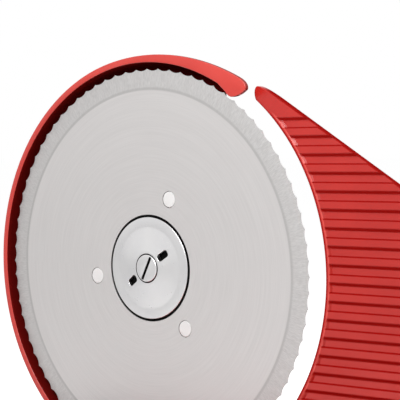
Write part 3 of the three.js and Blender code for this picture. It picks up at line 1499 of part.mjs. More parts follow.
function makeKnob() {
  const skirtBack = knobFront + KNOB_SKIRT_HEIGHT;
  const body = turned([
    [0, knobFront],
    [KNOB_SKIRT_RADIUS, knobFront],
    [KNOB_SKIRT_RADIUS - KNOB_EDGE / 2, skirtBack],
    [KNOB_GRIP_RADIUS, skirtBack],
    [KNOB_GRIP_RADIUS - KNOB_EDGE / 2, knobBack - KNOB_EDGE],
    [KNOB_GRIP_RADIUS - KNOB_EDGE * 1.5, knobBack],
    [0, knobBack],
  ]);
  const flutes = Array.from({ length: KNOB_FLUTES }, (_, i) => {
    const [x, z] = polar(KNOB_GRIP_RADIUS + KNOB_FLUTE_RADIUS / 2, (360 * (i + 0.5)) / KNOB_FLUTES);
    return pin(KNOB_FLUTE_RADIUS, skirtBack + KNOB_EDGE, knobBack + OVERRUN, x, z, SMALL_FACETS);
  });
  const bore = pin(SPINDLE_RADIUS + SEAT_GAP, knobFront - OVERRUN, spindleEnd + SEAT_GAP);
  return cut(body, ...flutes, bore).translate(adjusterX, 0, adjusterZ);
}

// Carriage

const railLeft = BASE_LEFT + RAIL_BLOCK_INSET + RAIL_BLOCK_LENGTH / 2;
const railRight = BASE_RIGHT - RAIL_BLOCK_INSET - RAIL_BLOCK_LENGTH / 2;

// A block stands on the base at the rails' ends and holds both rails.
function makeRailBlock(x, screwY) {
  const left = x - RAIL_BLOCK_LENGTH / 2;
  const right = x + RAIL_BLOCK_LENGTH / 2;
  const outline = roundedBox(
    OUTER_RAIL_Y - RAIL_RADIUS - RAIL_BLOCK_WALL,
    baseTop + SEAT_GAP,
    INNER_RAIL_Y + RAIL_RADIUS + RAIL_BLOCK_WALL,
    railZ + RAIL_RADIUS + RAIL_BLOCK_WALL / 2,
    RAIL_BLOCK_ROUND,
  );
  const holes = [INNER_RAIL_Y, OUTER_RAIL_Y].map((y) =>
    drawnOut(circleOutline(RAIL_RADIUS + SEAT_GAP, y, railZ), left - OVERRUN, right + OVERRUN),
  );
  const screwHole = uprightPin(
    FOOT_SCREW_RADIUS + SEAT_GAP,
    baseTop - OVERRUN,
    fixingScrewTop + SEAT_GAP,
    x,
    screwY,
    SMALL_FACETS,
  );
  return cut(drawnOut(outline, left, right), ...holes, screwHole);
}

function makeRail(y) {
  return drawnOut(circleOutline(RAIL_RADIUS, y, railZ), railLeft - RAIL_BLOCK_LENGTH / 4, railRight + RAIL_BLOCK_LENGTH / 4);
}

const sliderLefts = [deckLeft + SLIDER_INSET, deckLeft + SLIDER_INSET + SLIDER_SPACING];

function makeSlider(left, y) {
  const outline = roundedBox(
    y - SLIDER_WIDTH / 2,
    railZ - SLIDER_FOOT,
    y + SLIDER_WIDTH / 2,
    deckUnderside - SEAT_GAP,
    SLIDER_CORNER,
  );
  const right = left + SLIDER_LENGTH;
  const bore = drawnOut(circleOutline(RAIL_RADIUS + RUNNING_GAP, y, railZ), left - OVERRUN, right + OVERRUN);
  return cut(drawnOut(outline, left, right), bore);
}

function makeDeck() {
  const outline = (inset) =>
    roundedBox(deckLeft + inset, DECK_FRONT + inset, deckRight - inset, DECK_BACK - inset, DECK_CORNER - inset);
  const tray = raised(outline(0), deckTop - DECK_LIP, deckTop);
  const under = raised(outline(DECK_SHEET), deckTop - DECK_LIP - OVERRUN, deckUnderside);
  const span = deckRight - deckLeft - WALL_FOOT_REACH - WALL_THICKNESS - 2 * DECK_GROOVE_MARGIN;
  const grooves = Array.from({ length: DECK_GROOVES }, (_, i) => {
    const x = deckLeft + DECK_GROOVE_MARGIN + (span * i) / (DECK_GROOVES - 1);
    const half = DECK_GROOVE_WIDTH / 2;
    const groove = roundedBox(
      x - half,
      DECK_FRONT + DECK_GROOVE_MARGIN,
      x + half,
      DECK_BACK - DECK_GROOVE_MARGIN,
      half,
    );
    return raised(groove, deckTop - DECK_GROOVE_DEPTH, deckTop + OVERRUN);
  });
  const screwHoles = wallScrewPlaces().map(([x, y]) =>
    uprightPin(WALL_SCREW_RADIUS + SEAT_GAP, deckUnderside - OVERRUN, deckTop + OVERRUN, x, y, SMALL_FACETS),
  );
  return cut(tray, under, ...grooves, ...screwHoles);
}

const wallBottom = deckTop + SEAT_GAP;
const wallFootTop = wallBottom + WALL_FOOT_THICKNESS;

function wallScrewPlaces() {
  const x = wallInner - WALL_FOOT_REACH / 2;
  const reach = DECK_BACK - DECK_FRONT;
  return [DECK_FRONT + reach / 4, DECK_BACK - reach / 4].map((y) => [x, y]);
}

// The upright wall with its foot on the deck, its rim and the flange that guards the thumb.
function makeCarriageWall() {
  const back = DECK_BACK - SEAT_GAP;
  const front = DECK_FRONT + SEAT_GAP;
  const side = (left, right, drop) =>
    drawnOut(
      roundedOutline([
        [front, wallBottom, 0],
        [back, wallBottom, 0],
        [back, wallTop - drop, drop + GUARD_FLANGE_THICKNESS],
        [front, wallTop - drop, WALL_CORNER],
      ]),
      left,
      right,
    );
  const wall = side(wallInner, deckRight, 0);
  const flange = slab(
    roundedOutline([
      [wallInner, wallBottom, 0],
      [deckRight + GUARD_FLANGE_REACH, wallBottom, GUARD_FLANGE_CORNER / 2],
      [deckRight + GUARD_FLANGE_REACH, wallTop - GUARD_FLANGE_CORNER, GUARD_FLANGE_CORNER],
      [wallInner, wallTop - GUARD_FLANGE_THICKNESS, 0],
    ]),
    back - GUARD_FLANGE_THICKNESS,
    back,
  );
  const foot = raised(
    roundedBox(wallInner - WALL_FOOT_REACH, front + WALL_CORNER, wallInner + WALL_THICKNESS / 2, back - WALL_CORNER, WALL_RIM),
    wallBottom,
    wallFootTop,
  );
  const screwHoles = wallScrewPlaces().map(([x, y]) =>
    uprightPin(WALL_SCREW_RADIUS + SEAT_GAP, wallBottom - OVERRUN, wallFootTop + OVERRUN, x, y, SMALL_FACETS),
  );
  return cut(joined(wall, flange, foot), ...screwHoles);
}

function makeWallScrew(x, y) {
  const headBottom = wallFootTop + SEAT_GAP;
  const headTop = headBottom + WALL_SCREW_HEAD;
  return turnedUpright(
    [
      [0, headTop - WALL_SCREW_LENGTH],
      [WALL_SCREW_RADIUS, headTop - WALL_SCREW_LENGTH],
      [WALL_SCREW_RADIUS, headBottom],
      [WALL_SCREW_HEAD_RADIUS, headBottom],
      [WALL_SCREW_HEAD_RADIUS, headBottom + WALL_SCREW_HEAD / 2],
      [WALL_SCREW_HEAD_RADIUS * 0.7, headTop],
      [0, headTop],
    ],
    x,
    y,
    SCREW_FACETS,
  );
}

// Pusher

const pusherBack = PUSHER_FRONT;
const pusherRight = wallInner - SEAT_GAP;
const pusherLeft = pusherRight - PUSHER_WIDTH;
const pusherBottom = wallFootTop + PUSHER_DECK_GAP + WALL_SCREW_HEAD;
const saddleBottom = wallTop + SEAT_GAP;
const saddleTop = saddleBottom + PUSHER_SADDLE_SHEET;
const pusherKnobX = (pusherLeft + pusherRight) / 2;
const pusherKnobZ = (pusherBottom + saddleTop) / 2;

function makePusher() {
  const front = pusherBack - PUSHER_THICKNESS;
  const saddleRight = deckRight + SEAT_GAP + PUSHER_SADDLE_SHEET;
  const panel = slab(
    roundedOutline([
      [pusherLeft, pusherBottom, PUSHER_CORNER],
      [pusherRight, pusherBottom, PUSHER_CORNER],
      [pusherRight, saddleTop, 0],
      [pusherLeft, saddleTop, PUSHER_CORNER],
    ]),
    front,
    pusherBack,
  );
  const ridges = Array.from({ length: PUSHER_RIDGES }, (_, i) => {
    const x = pusherLeft + (PUSHER_WIDTH * (i + 1)) / (PUSHER_RIDGES + 1);
    const half = PUSHER_RIDGE_WIDTH / 2;
    const outline = outlineOf([
      [x - half, pusherBack - OVERRUN],
      [x + half, pusherBack - OVERRUN],
      [x, pusherBack + PUSHER_RIDGE_HEIGHT],
    ]);
    return raised(outline, pusherBottom + PUSHER_CORNER, saddleTop - PUSHER_CORNER);
  });
  const saddle = slab(
    roundedOutline([
      [pusherRight - PUSHER_CORNER, saddleBottom, 0],
      [deckRight + SEAT_GAP, saddleBottom, 0],
      [deckRight + SEAT_GAP, saddleBottom - PUSHER_SKIRT, 0],
      [saddleRight, saddleBottom - PUSHER_SKIRT, 0],
      [saddleRight, saddleTop, PUSHER_SADDLE_SHEET / 2],
      [pusherRight - PUSHER_CORNER, saddleTop, 0],
    ]),
    pusherBack - PUSHER_SADDLE_LENGTH,
    pusherBack,
  );
  const web = slab(
    roundedBox(pusherRight - PUSHER_SADDLE_SHEET, saddleBottom - PUSHER_SKIRT, pusherRight, saddleTop, 0),
    pusherBack - PUSHER_SADDLE_LENGTH,
    front + OVERRUN,
  );
  const boltHole = pin(
    FOOT_SCREW_RADIUS + SEAT_GAP,
    front - OVERRUN,
    front + PUSHER_THICKNESS / 2,
    pusherKnobX,
    pusherKnobZ,
    SMALL_FACETS,
  );
  return cut(joined(panel, ...ridges, saddle, web), boltHole);
}

function makePusherKnob() {
  const seat = pusherBack - PUSHER_THICKNESS - SEAT_GAP;
  const end = seat - PUSHER_KNOB_LENGTH;
  const cap = arc(0, 0, 1, 90, 0).map(([reach, rise]) => [
    PUSHER_KNOB_RADIUS * reach,
    end + PUSHER_KNOB_RADIUS / 2 - (PUSHER_KNOB_RADIUS / 2) * rise,
  ]);
  return turned(
    [
      ...cap,
      [PUSHER_KNOB_RADIUS, end + PUSHER_KNOB_RADIUS],
      [PUSHER_KNOB_NECK_RADIUS, end + PUSHER_KNOB_RADIUS * 1.5],
      [PUSHER_KNOB_NECK_RADIUS + KNOB_EDGE, seat],
      [FOOT_SCREW_RADIUS, seat],
      [FOOT_SCREW_RADIUS, seat + SEAT_GAP + PUSHER_THICKNESS / 2 - SEAT_GAP / 2],
      [0, seat + SEAT_GAP + PUSHER_THICKNESS / 2 - SEAT_GAP / 2],
    ],
    pusherKnobX,
    pusherKnobZ,
    SMALL_FACETS,
  );
}

// Assembly: one group for each set of pieces that moves as one

function assembled(...pieces) {
  const group = new THREE.Group();
  group.add(...pieces);
  return group;
}

function numbered(name, places, make, material) {
  return places.map(([a, b], i) => piece(name + "_" + (i + 1), make(a, b), material));
}

const frame = assembled(
  piece("base", makeBase(), RED_PAINT),
  piece("housing", makeHousing(), RED_PAINT),
  piece("gear_shield", makeGearShield(), STEEL),
  ...numbered("shield_screw", shieldScrewPlaces(), makeShieldScrew, STEEL),
  piece("axle_bush", makeBush(0, 0, axleBossEnd), BRONZE),
  piece("crank_bush", makeBush(crankX, crankZ, crankBossEnd), BRONZE),
  piece("axle_cap", makeAxleCap(), BLACK_PLASTIC),
  ...numbered("pedestal_screw", pedestalScrewPlaces(), makeFixingScrew, STEEL),
  piece("adjuster_block", makeAdjusterBlock(), RED_PAINT),
  ...numbered("block_screw", blockScrewPlaces(), makeFixingScrew, STEEL),
  ...numbered("rail_block", railScrewPlaces(), makeRailBlock, BLACK_PLASTIC),
  ...numbered("rail_screw", railScrewPlaces(), makeFixingScrew, STEEL),
  piece("rail_inner", makeRail(INNER_RAIL_Y), STEEL),
  piece("rail_outer", makeRail(OUTER_RAIL_Y), STEEL),
  ...numbered("suction_foot", footPlaces(), makeFoot, RUBBER),
  ...numbered("foot_screw", footPlaces(), makeFootScrew, STEEL),
);

const bladeGroup = assembled(
  piece("blade", makeBlade(), BLADE_STEEL),
  piece("blade_seat", makeBladeSeat(), BLACK_PLASTIC),
  piece("blade_cover", makeBladeCover(), CHROME),
  piece("cover_screw", makeCoverScrew(), CHROME),
  piece("drive_hub", makeDriveHub(), WHITE_NYLON),
  piece("blade_axle", makeBladeAxle(), STEEL),
  piece("axle_clip", makeAxleClip(), STEEL),
);

const crank = assembled(
  piece("crank_gear", makeCrankGear(), WHITE_NYLON),
  piece("crank_shaft", makeCrankShaft(), STEEL),
  piece("crank_arm", makeCrankArm(), CHROME),
  piece("crank_nut", makeCrankNut(), CHROME),
  piece("grip_pin", makeGripPin(), STEEL),
  piece("crank_grip", makeCrankGrip(), BLACK_PLASTIC),
  piece("grip_cap", makeGripCap(), BLACK_PLASTIC),
);

const guidePlate = assembled(
  piece("guide_plate", makeGuidePlate(), RED_PAINT),
  piece("guide_rod_left", makeGuideRod(-1), STEEL),
  piece("guide_rod_right", makeGuideRod(1), STEEL),
  piece("spindle_nut", makeSpindleNut(), BRONZE),
  piece("knob_spindle", makeKnobSpindle(), STEEL),
  piece("thickness_knob", makeKnob(), BLACK_PLASTIC),
);

const carriage = assembled(
  piece("carriage_deck", makeDeck(), STEEL),
  ...[INNER_RAIL_Y, OUTER_RAIL_Y].flatMap((y, row) =>
    sliderLefts.map((left, i) => piece("slider_" + (2 * row + i + 1), makeSlider(left, y), BLACK_PLASTIC)),
  ),
  piece("carriage_wall", makeCarriageWall(), BLACK_PLASTIC),
  ...numbered("wall_screw", wallScrewPlaces(), makeWallScrew, STEEL),
  piece("pusher", makePusher(), BLACK_PLASTIC),
  piece("pusher_knob", makePusherKnob(), BLACK_PLASTIC),
);

const slicer = assembled(frame, bladeGroup, crank, guidePlate, carriage);
const extent = new THREE.Box3().setFromObject(slicer);
const middle = extent.getCenter(new THREE.Vector3());
slicer.position.set(-middle.x, -middle.y, -extent.min.z);

export default slicer;
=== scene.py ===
"""The looks of a hand crank meat slicer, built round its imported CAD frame.

Places are given in millimetres about the centre of the blade's ground face: x runs along the
carriage's travel, y from the food side to the crank side, and z is up.
"""
import json
import logging
import math
from dataclasses import dataclass
from enum import Enum
from typing import Callable, Iterable, Sequence

import bpy
from mathutils import Matrix, Vector


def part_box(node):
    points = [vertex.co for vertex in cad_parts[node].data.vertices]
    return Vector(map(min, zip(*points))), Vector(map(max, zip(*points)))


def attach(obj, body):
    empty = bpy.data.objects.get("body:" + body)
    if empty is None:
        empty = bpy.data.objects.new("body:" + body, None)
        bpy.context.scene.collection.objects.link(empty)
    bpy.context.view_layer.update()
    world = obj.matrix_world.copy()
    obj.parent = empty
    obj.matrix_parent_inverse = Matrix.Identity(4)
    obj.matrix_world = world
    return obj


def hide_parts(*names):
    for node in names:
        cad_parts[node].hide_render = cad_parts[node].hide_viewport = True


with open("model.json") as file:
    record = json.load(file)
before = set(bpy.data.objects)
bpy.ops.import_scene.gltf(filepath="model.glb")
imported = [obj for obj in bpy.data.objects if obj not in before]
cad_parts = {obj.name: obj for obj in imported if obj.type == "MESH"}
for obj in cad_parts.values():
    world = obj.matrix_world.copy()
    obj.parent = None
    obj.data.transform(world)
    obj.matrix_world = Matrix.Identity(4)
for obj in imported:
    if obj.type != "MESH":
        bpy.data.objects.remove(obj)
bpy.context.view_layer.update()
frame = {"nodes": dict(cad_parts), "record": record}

Point = tuple[float, float]
Colour = tuple[float, float, float]
Solid = bpy.types.Object
Socket = bpy.types.NodeSocket
Material = bpy.types.Material

log = logging.getLogger("slicer")

# A millimetre, in metres
MM = 0.001
# Vertices that lie nearer than this many metres become one
MERGE = 2e-7
# How far a vertex may be from a level and still count as on it, in millimetres
ON_LEVEL = 0.01
# How far a cutter reaches past what it cuts, in millimetres
OVERRUN = 1.0
# The gap between two pieces that are fixed to each other, in millimetres
SEAT_GAP = 0.3


class Body(Enum):
    """The bodies of the frame that pieces ride on."""

    FRAME = "frame"
    BLADE = "blade_unit"
    CRANK = "crank"
    GRIP = "grip"
    PLATE = "plate"
    KNOB = "knob"
    CARRIAGE = "carriage"
    PUSHER = "pusher"


class Slot(Enum):
    """The record's material slots."""

    RED = "red_paint"
    BLADE = "blade_steel"
    CHROME = "chrome"
    STEEL = "steel"
    NYLON = "white_nylon"
    BLACK = "black_plastic"
    RUBBER = "rubber"
    BRONZE = "bronze"


class Axis(Enum):
    """The axes that round pieces are turned about."""

    ACROSS = (0.0, 1.0, 0.0)
    UPRIGHT = (0.0, 0.0, 1.0)
    ALONG = (1.0, 0.0, 0.0)


def blade_centre() -> Vector:
    """The centre of the blade's ground face.

    Returns:
        The point in the row frame, in metres.
    """
    low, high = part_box("blade_axle")
    return Vector(((low.x + high.x) / 2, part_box("blade")[0].y, (low.z + high.z) / 2))


ORIGIN = blade_centre()


def place(x: float, y: float, z: float) -> Vector:
    """A point of the row frame in metres, from its place in millimetres."""
    return ORIGIN + Vector((x, y, z)) * MM


# Outlines


def polar(radius: float, degrees: float, x: float = 0.0, z: float = 0.0) -> Point:
    """The point at a radius and an angle about a centre."""
    angle = math.radians(degrees)
    return (x + radius * math.cos(angle), z + radius * math.sin(angle))


def arc(x: float, z: float, radius: float, start: float, end: float, steps: int) -> list[Point]:
    """Points along an arc.

    Args:
        x: The centre's first coordinate.
        z: The centre's second coordinate.
        radius: The arc's radius.
        start: The first point's angle in degrees.
        end: The last point's angle in degrees.
        steps: The count of edges.

    Returns:
        The points from start to end, both included.
    """
    return [polar(radius, start + (end - start) * i / steps, x, z) for i in range(steps + 1)]


def rounded(corners: Sequence[tuple[float, float, float]], steps: int = 8) -> list[Point]:
    """A closed outline whose corners are rounded by arcs.

    Args:
        corners: Each corner's two coordinates and its radius.
        steps: The count of edges in each rounded corner.

    Returns:
        The outline's points in the order of the corners.
    """
    points: list[Point] = []
    count = len(corners)
    for i, (x, z, radius) in enumerate(corners):
        here = Vector((x, z))
        if radius <= 0:
            points.append((x, z))
            continue
        before = (Vector(corners[i - 1][:2]) - here).normalized()
        after = (Vector(corners[(i + 1) % count][:2]) - here).normalized()
        half = before.angle(after) / 2
        reach = radius / math.tan(half)
        centre = here + (before + after).normalized() * (radius / math.sin(half))
        first = here + before * reach - centre
        last = here + after * reach - centre
        turn = math.atan2(first.x * last.y - first.y * last.x, first.dot(last))
        for step in range(steps + 1):
            angle = turn * step / steps
            spoke = Vector((
                first.x * math.cos(angle) - first.y * math.sin(angle),
                first.x * math.sin(angle) + first.y * math.cos(angle),
            ))
            points.append((centre.x + spoke.x, centre.y + spoke.y))
    return points


def rounded_box(
    left: float, low: float, right: float, high: float, radius: float, steps: int = 8
) -> list[Point]:
    """The outline of a box with four equal round corners."""
    corners = [(left, low), (right, low), (right, high), (left, high)]
    return rounded([(x, z, radius) for x, z in corners], steps)


def curved(start: Point, handles: Sequence[Point], end: Point, steps: int) -> list[Point]:
    """Points of a Bezier curve with one or two handles, without its first point.

    Args:
        start: The first point.
        handles: The handles.
        end: The last point.
        steps: The count of edges.

    Returns:
        The points after the first.
    """
    knots = [Vector(start), *(Vector(h) for h in handles), Vector(end)]
    points: list[Point] = []
    for i in range(1, steps + 1):
        level = knots
        share = i / steps
        while len(level) > 1:
            level = [a.lerp(b, share) for a, b in zip(level, level[1:])]
        points.append((level[0].x, level[0].y))
    return points


def band(x1: float, z1: float, r1: float, x2: float, z2: float, r2: float, steps: int = 32) -> list[Point]:
    """The outline of a belt laid round two circles.

    Args:
        x1: The first centre's x.
        z1: The first centre's z.
        r1: The first circle's radius.
        x2: The second centre's x.
        z2: The second centre's z.
        r2: The second circle's radius.
        steps: The count of edges round each circle.

    Returns:
        The outline's points, counterclockwise.
    """
    bearing = math.degrees(math.atan2(z2 - z1, x2 - x1))
    lean = math.degrees(math.acos((r1 - r2) / math.hypot(x2 - x1, z2 - z1)))
    first = arc(x1, z1, r1, bearing + lean, bearing + 360 - lean, steps)
    second = arc(x2, z2, r2, bearing - lean, bearing + lean, steps)
    return first + second


def moved(point: Point, step: Point) -> Point:
    """A point moved by a step."""
    return (point[0] + step[0], point[1] + step[1])


def turned(outline: Sequence[Point], degrees: float, x: float = 0.0, z: float = 0.0) -> list[Point]:
    """An outline about the origin, turned and then moved.

    Args:
        outline: Its points.
        degrees: The angle that it is turned by.
        x: How far it is moved along the first coordinate.
        z: How far it is moved along the second coordinate.

    Returns:
        The moved points.
    """
    lean = Matrix.Rotation(math.radians(degrees), 2)
    corners = [lean @ Vector(corner) for corner in outline]
    return [(x + corner.x, z + corner.y) for corner in corners]


def dome(radius: float, base: float, rise: float, steps: int = 10) -> list[Point]:
    """A dome's profile from its rim up to the last point before its crown.

    Args:
        radius: The rim's radius.
        base: The rim's place along the axis.
        rise: How far the crown is from the rim along the axis.
        steps: The count of edges from rim to crown.

    Returns:
        Each point's radius and its place along the axis.
    """
    return [(radius * c, base + rise * s) for c, s in arc(0, 0, 1, 0, 90, steps)[:-1]]


# Sizes that several pieces share, or a piece and its finish, in millimetres about the blade's centre

BEVEL_FROM = 85.0
GUARD_FRONT = -2.7
GUARD_OUTER = 100.9
GUARD_BEND = 9.0
PAN_FRONT = 8.9
CASTING_WALL = 3.0
PLATE_FACE = 5.5
PLATE_HOLLOW = 99.9
PLATE_SLOPE = math.tan(math.radians(31.48))
PLATE_SLOPE_AT_AXIS = 125.0
GROOVE_PITCH = 8.06
GROOVE_HEIGHT = 4.85
FIRST_GROOVE_TOP = 70.45
CRANK_X, CRANK_Z = polar(49.5, 200.0)
ADJUSTER_CENTRE = (178.0, -46.0)
ROD_SPREAD = 30.0
FOOT_LEVEL = -111.7
RAIL_Y = (-18.0, -74.0)
RAIL_Z = -98.0


# The bench: the modelling moves that the pieces are made with


class Bench:
    """Makes meshes from primitives by the moves of the modelling tools."""

    @staticmethod
    def clear() -> None:
        """Leaves nothing selected."""
        bpy.ops.object.select_all(action="DESELECT")

    @staticmethod
    def hold(obj: Solid) -> None:
        """Selects one object alone and makes it active.

        Args:
            obj: The object.
        """
        Bench.clear()
        obj.select_set(True)
        bpy.context.view_layer.objects.active = obj

    @staticmethod
    def edit(obj: Solid, *moves: Callable[[], object]) -> Solid:
        """Runs moves in edit mode on all of a mesh.

        Args:
            obj: The mesh object.
            moves: The operators to run, in order.

        Returns:
            The same object.
        """
        Bench.hold(obj)
        bpy.ops.object.mode_set(mode="EDIT")
        bpy.ops.mesh.select_all(action="SELECT")
        for move in moves:
            move()
        bpy.ops.object.mode_set(mode="OBJECT")
        return obj

    @staticmethod
    def settle(obj: Solid) -> Solid:
        """Puts the object's place into its mesh, so that the object sits at the origin.

        Args:
            obj: The mesh object.

        Returns:
            The same object.
        """
        Bench.hold(obj)
        bpy.ops.object.transform_apply(location=True, rotation=True, scale=True)
        return obj

    @staticmethod
    def chain(points: Sequence[Vector], closed: bool = False) -> Solid:
        """Draws a chain of edges by extruding one vertex from point to point.

        Args:
            points: The places of the vertices, in metres.
            closed: Whether the chain runs back to its start.

        Returns:
            The new object.
        """
        Bench.clear()
        bpy.ops.mesh.primitive_plane_add(size=MM, location=points[0])
        obj = bpy.context.object
        path = [*points, points[0]] if closed else list(points)

        def draw() -> None:
            """Pulls the vertex along the path."""
            bpy.ops.mesh.merge(type="CENTER")
            for here, there in zip(path, path[1:]):
                bpy.ops.mesh.extrude_region_move(TRANSFORM_OT_translate={"value": there - here})
            bpy.ops.mesh.select_all(action="SELECT")
            bpy.ops.mesh.remove_doubles(threshold=MERGE)

        return Bench.edit(obj, draw)

    @staticmethod
    def outward() -> None:
        """Turns all faces of the edited mesh outwards."""
        bpy.ops.mesh.select_all(action="SELECT")
        bpy.ops.mesh.normals_make_consistent(inside=False)

    @staticmethod
    def drawn(points: Sequence[Vector], pull: Vector) -> Solid:
        """Fills a closed outline and pulls it into a solid.

        Args:
            points: The outline's places in metres.
            pull: How far the face is extruded, in metres.

        Returns:
            The new solid.
        """
        obj = Bench.chain(points, closed=True)
        Bench.edit(
            obj,
            bpy.ops.mesh.edge_face_add,
            lambda: bpy.ops.mesh.extrude_region_move(TRANSFORM_OT_translate={"value": pull}),
            Bench.outward,
        )
        return Bench.settle(obj)

    @staticmethod
    def slab(outline: Sequence[Point], front: float, back: float) -> Solid:
        """A solid with an upright outline in x and z, between two depths."""
        return Bench.drawn([place(x, front, z) for x, z in outline], Vector((0, back - front, 0)) * MM)

    @staticmethod
    def raised(outline: Sequence[Point], low: float, high: float) -> Solid:
        """A solid with a level outline in x and y, between two heights."""
        return Bench.drawn([place(x, y, low) for x, y in outline], Vector((0, 0, high - low)) * MM)

    @staticmethod
    def sideways(outline: Sequence[Point], left: float, right: float) -> Solid:
        """A solid with an outline in y and z, drawn along x."""
        return Bench.drawn([place(left, y, z) for y, z in outline], Vector((right - left, 0, 0)) * MM)

    @staticmethod
    def spun(
        profile: Sequence[Point], centre: Point, axis: Axis, steps: int = 64, wire_closed: bool = False
    ) -> Solid:
        """Turns a profile through a full circle.

        Args:
            profile: Each point's radius and its place along the axis.
            centre: The axis's other two coordinates, in the order x, y, z.
            axis: The direction of the axis.
            steps: The count of edges round the circle.
            wire_closed: Whether the profile runs back to its start.

        Returns:
            The new solid.
        """
        a, b = centre
        spots = {
            Axis.ACROSS: lambda r, h: place(a + r, h, b),
            Axis.UPRIGHT: lambda r, h: place(a + r, b, h),
            Axis.ALONG: lambda r, h: place(h, a + r, b),
        }[axis]
        obj = Bench.chain([spots(r, h) for r, h in profile], closed=wire_closed)
        Bench.edit(
            obj,
            lambda: bpy.ops.mesh.spin(steps=steps, angle=math.tau, center=spots(0, 0), axis=axis.value),
            lambda: bpy.ops.mesh.select_all(action="SELECT"),
            lambda: bpy.ops.mesh.remove_doubles(threshold=MERGE),
            Bench.outward,
        )
        return Bench.settle(obj)

    @staticmethod
    def pin(
        radius: float, front: float, back: float, x: float = 0.0, z: float = 0.0, steps: int = 48
    ) -> Solid:
        """A plain round bar across the machine, as a cutter or a core."""
        profile = [(0, front), (radius, front), (radius, back), (0, back)]
        return Bench.spun(profile, (x, z), Axis.ACROSS, steps)

    @staticmethod
    def post(radius: float, low: float, high: float, x: float, y: float, steps: int = 32) -> Solid:
        """A plain upright round bar, as a cutter or a core."""
        profile = [(0, low), (radius, low), (radius, high), (0, high)]
        return Bench.spun(profile, (x, y), Axis.UPRIGHT, steps)

    @staticmethod
    def applied(obj: Solid, kind: str, **settings: object) -> Solid:
        """Adds one modifier, sets it and applies it.

        Args:
            obj: The mesh object.
            kind: The modifier's type.
            settings: Its values by name.

        Returns:
            The same object.
        """
        Bench.hold(obj)
        bpy.ops.object.modifier_add(type=kind)
        modifier = obj.modifiers[-1]
        for name, value in settings.items():
            setattr(modifier, name, value)
        bpy.ops.object.modifier_apply(modifier=modifier.name)
        return obj

    @staticmethod
    def combined(obj: Solid, operation: str, others: Iterable[Solid]) -> Solid:
        """Joins or cuts a solid with others, which are used up.

        Args:
            obj: The solid that is kept.
            operation: UNION or DIFFERENCE.
            others: The other solids.

        Returns:
            The same object.
        """
        for other in others:
            Bench.applied(obj, "BOOLEAN", operation=operation, object=other, solver="EXACT")
            bpy.data.objects.remove(other)
        return obj

    @staticmethod
    def cut(obj: Solid, *cutters: Solid) -> Solid:
        """Takes the cutters' space out of a solid."""
        return Bench.combined(obj, "DIFFERENCE", cutters)

    @staticmethod
    def joined(obj: Solid, *others: Solid) -> Solid:
        """Joins solids to one."""
        return Bench.combined(obj, "UNION", others)

    @staticmethod
    def together(first: Solid, *others: Solid) -> Solid:
        """Puts separate solids into one object, as they are.

        Args:
            first: The object that is kept.
            others: The solids that it takes up, in order.

        Returns:
            The first object.
        """
        for other in others:
            Bench.hold(first)
            other.select_set(True)
            bpy.ops.object.join()
        return first

    @staticmethod
    def eased(obj: Solid, width: float, segments: int = 3, sharper_than: float = 40.0) -> Solid:
        """Rounds every edge that is sharper than an angle."""
        return Bench.applied(
            obj,
            "BEVEL",
            width=width * MM,
            segments=segments,
            limit_method="ANGLE",
            angle_limit=math.radians(sharper_than),
            use_clamp_overlap=False,
            miter_outer="MITER_ARC",
        )

    @staticmethod
    def rim_eased(obj: Solid, width: float, segments: int, axis: Axis, level: float) -> Solid:
        """Rounds the rim of a solid's flat end.

        Args:
            obj: The mesh object.
            width: The width of the rounding, in millimetres.
            segments: The count of faces across it.
            axis: The axis that the end is square to.
            level: The end's place along the axis, in millimetres about the blade's centre.

        Returns:
            The same object.
        """
        mesh = obj.data
        heights = [(vertex.co - ORIGIN).dot(Vector(axis.value)) / MM for vertex in mesh.vertices]
        chosen = [abs(height - level) < ON_LEVEL for height in heights]
        marked = [all(chosen[i] for i in edge.vertices) for edge in mesh.edges]
        Bench.hold(obj)
        bpy.ops.object.mode_set(mode="EDIT")
        bpy.ops.mesh.select_mode(type="EDGE")
        bpy.ops.mesh.select_all(action="DESELECT")
        bpy.ops.object.mode_set(mode="OBJECT")
        for edge, is_marked in zip(mesh.edges, marked):
            edge.select = is_marked
        bpy.ops.object.mode_set(mode="EDIT")
        bpy.ops.mesh.bevel(offset=width * MM, segments=segments, affect="EDGES", clamp_overlap=False)
        bpy.ops.mesh.select_mode(type="VERT")
        bpy.ops.object.mode_set(mode="OBJECT")
        return obj

    @staticmethod
    def smooth(obj: Solid, degrees: float = 32.0) -> Solid:
        """Shades a solid smooth across its gentle edges.

        Args:
            obj: The solid.
            degrees: The angle above which an edge stays sharp.

        Returns:
            The same object.
        """
        Bench.hold(obj)
        bpy.ops.object.shade_smooth_by_angle(angle=math.radians(degrees))
        return obj


# Finishes


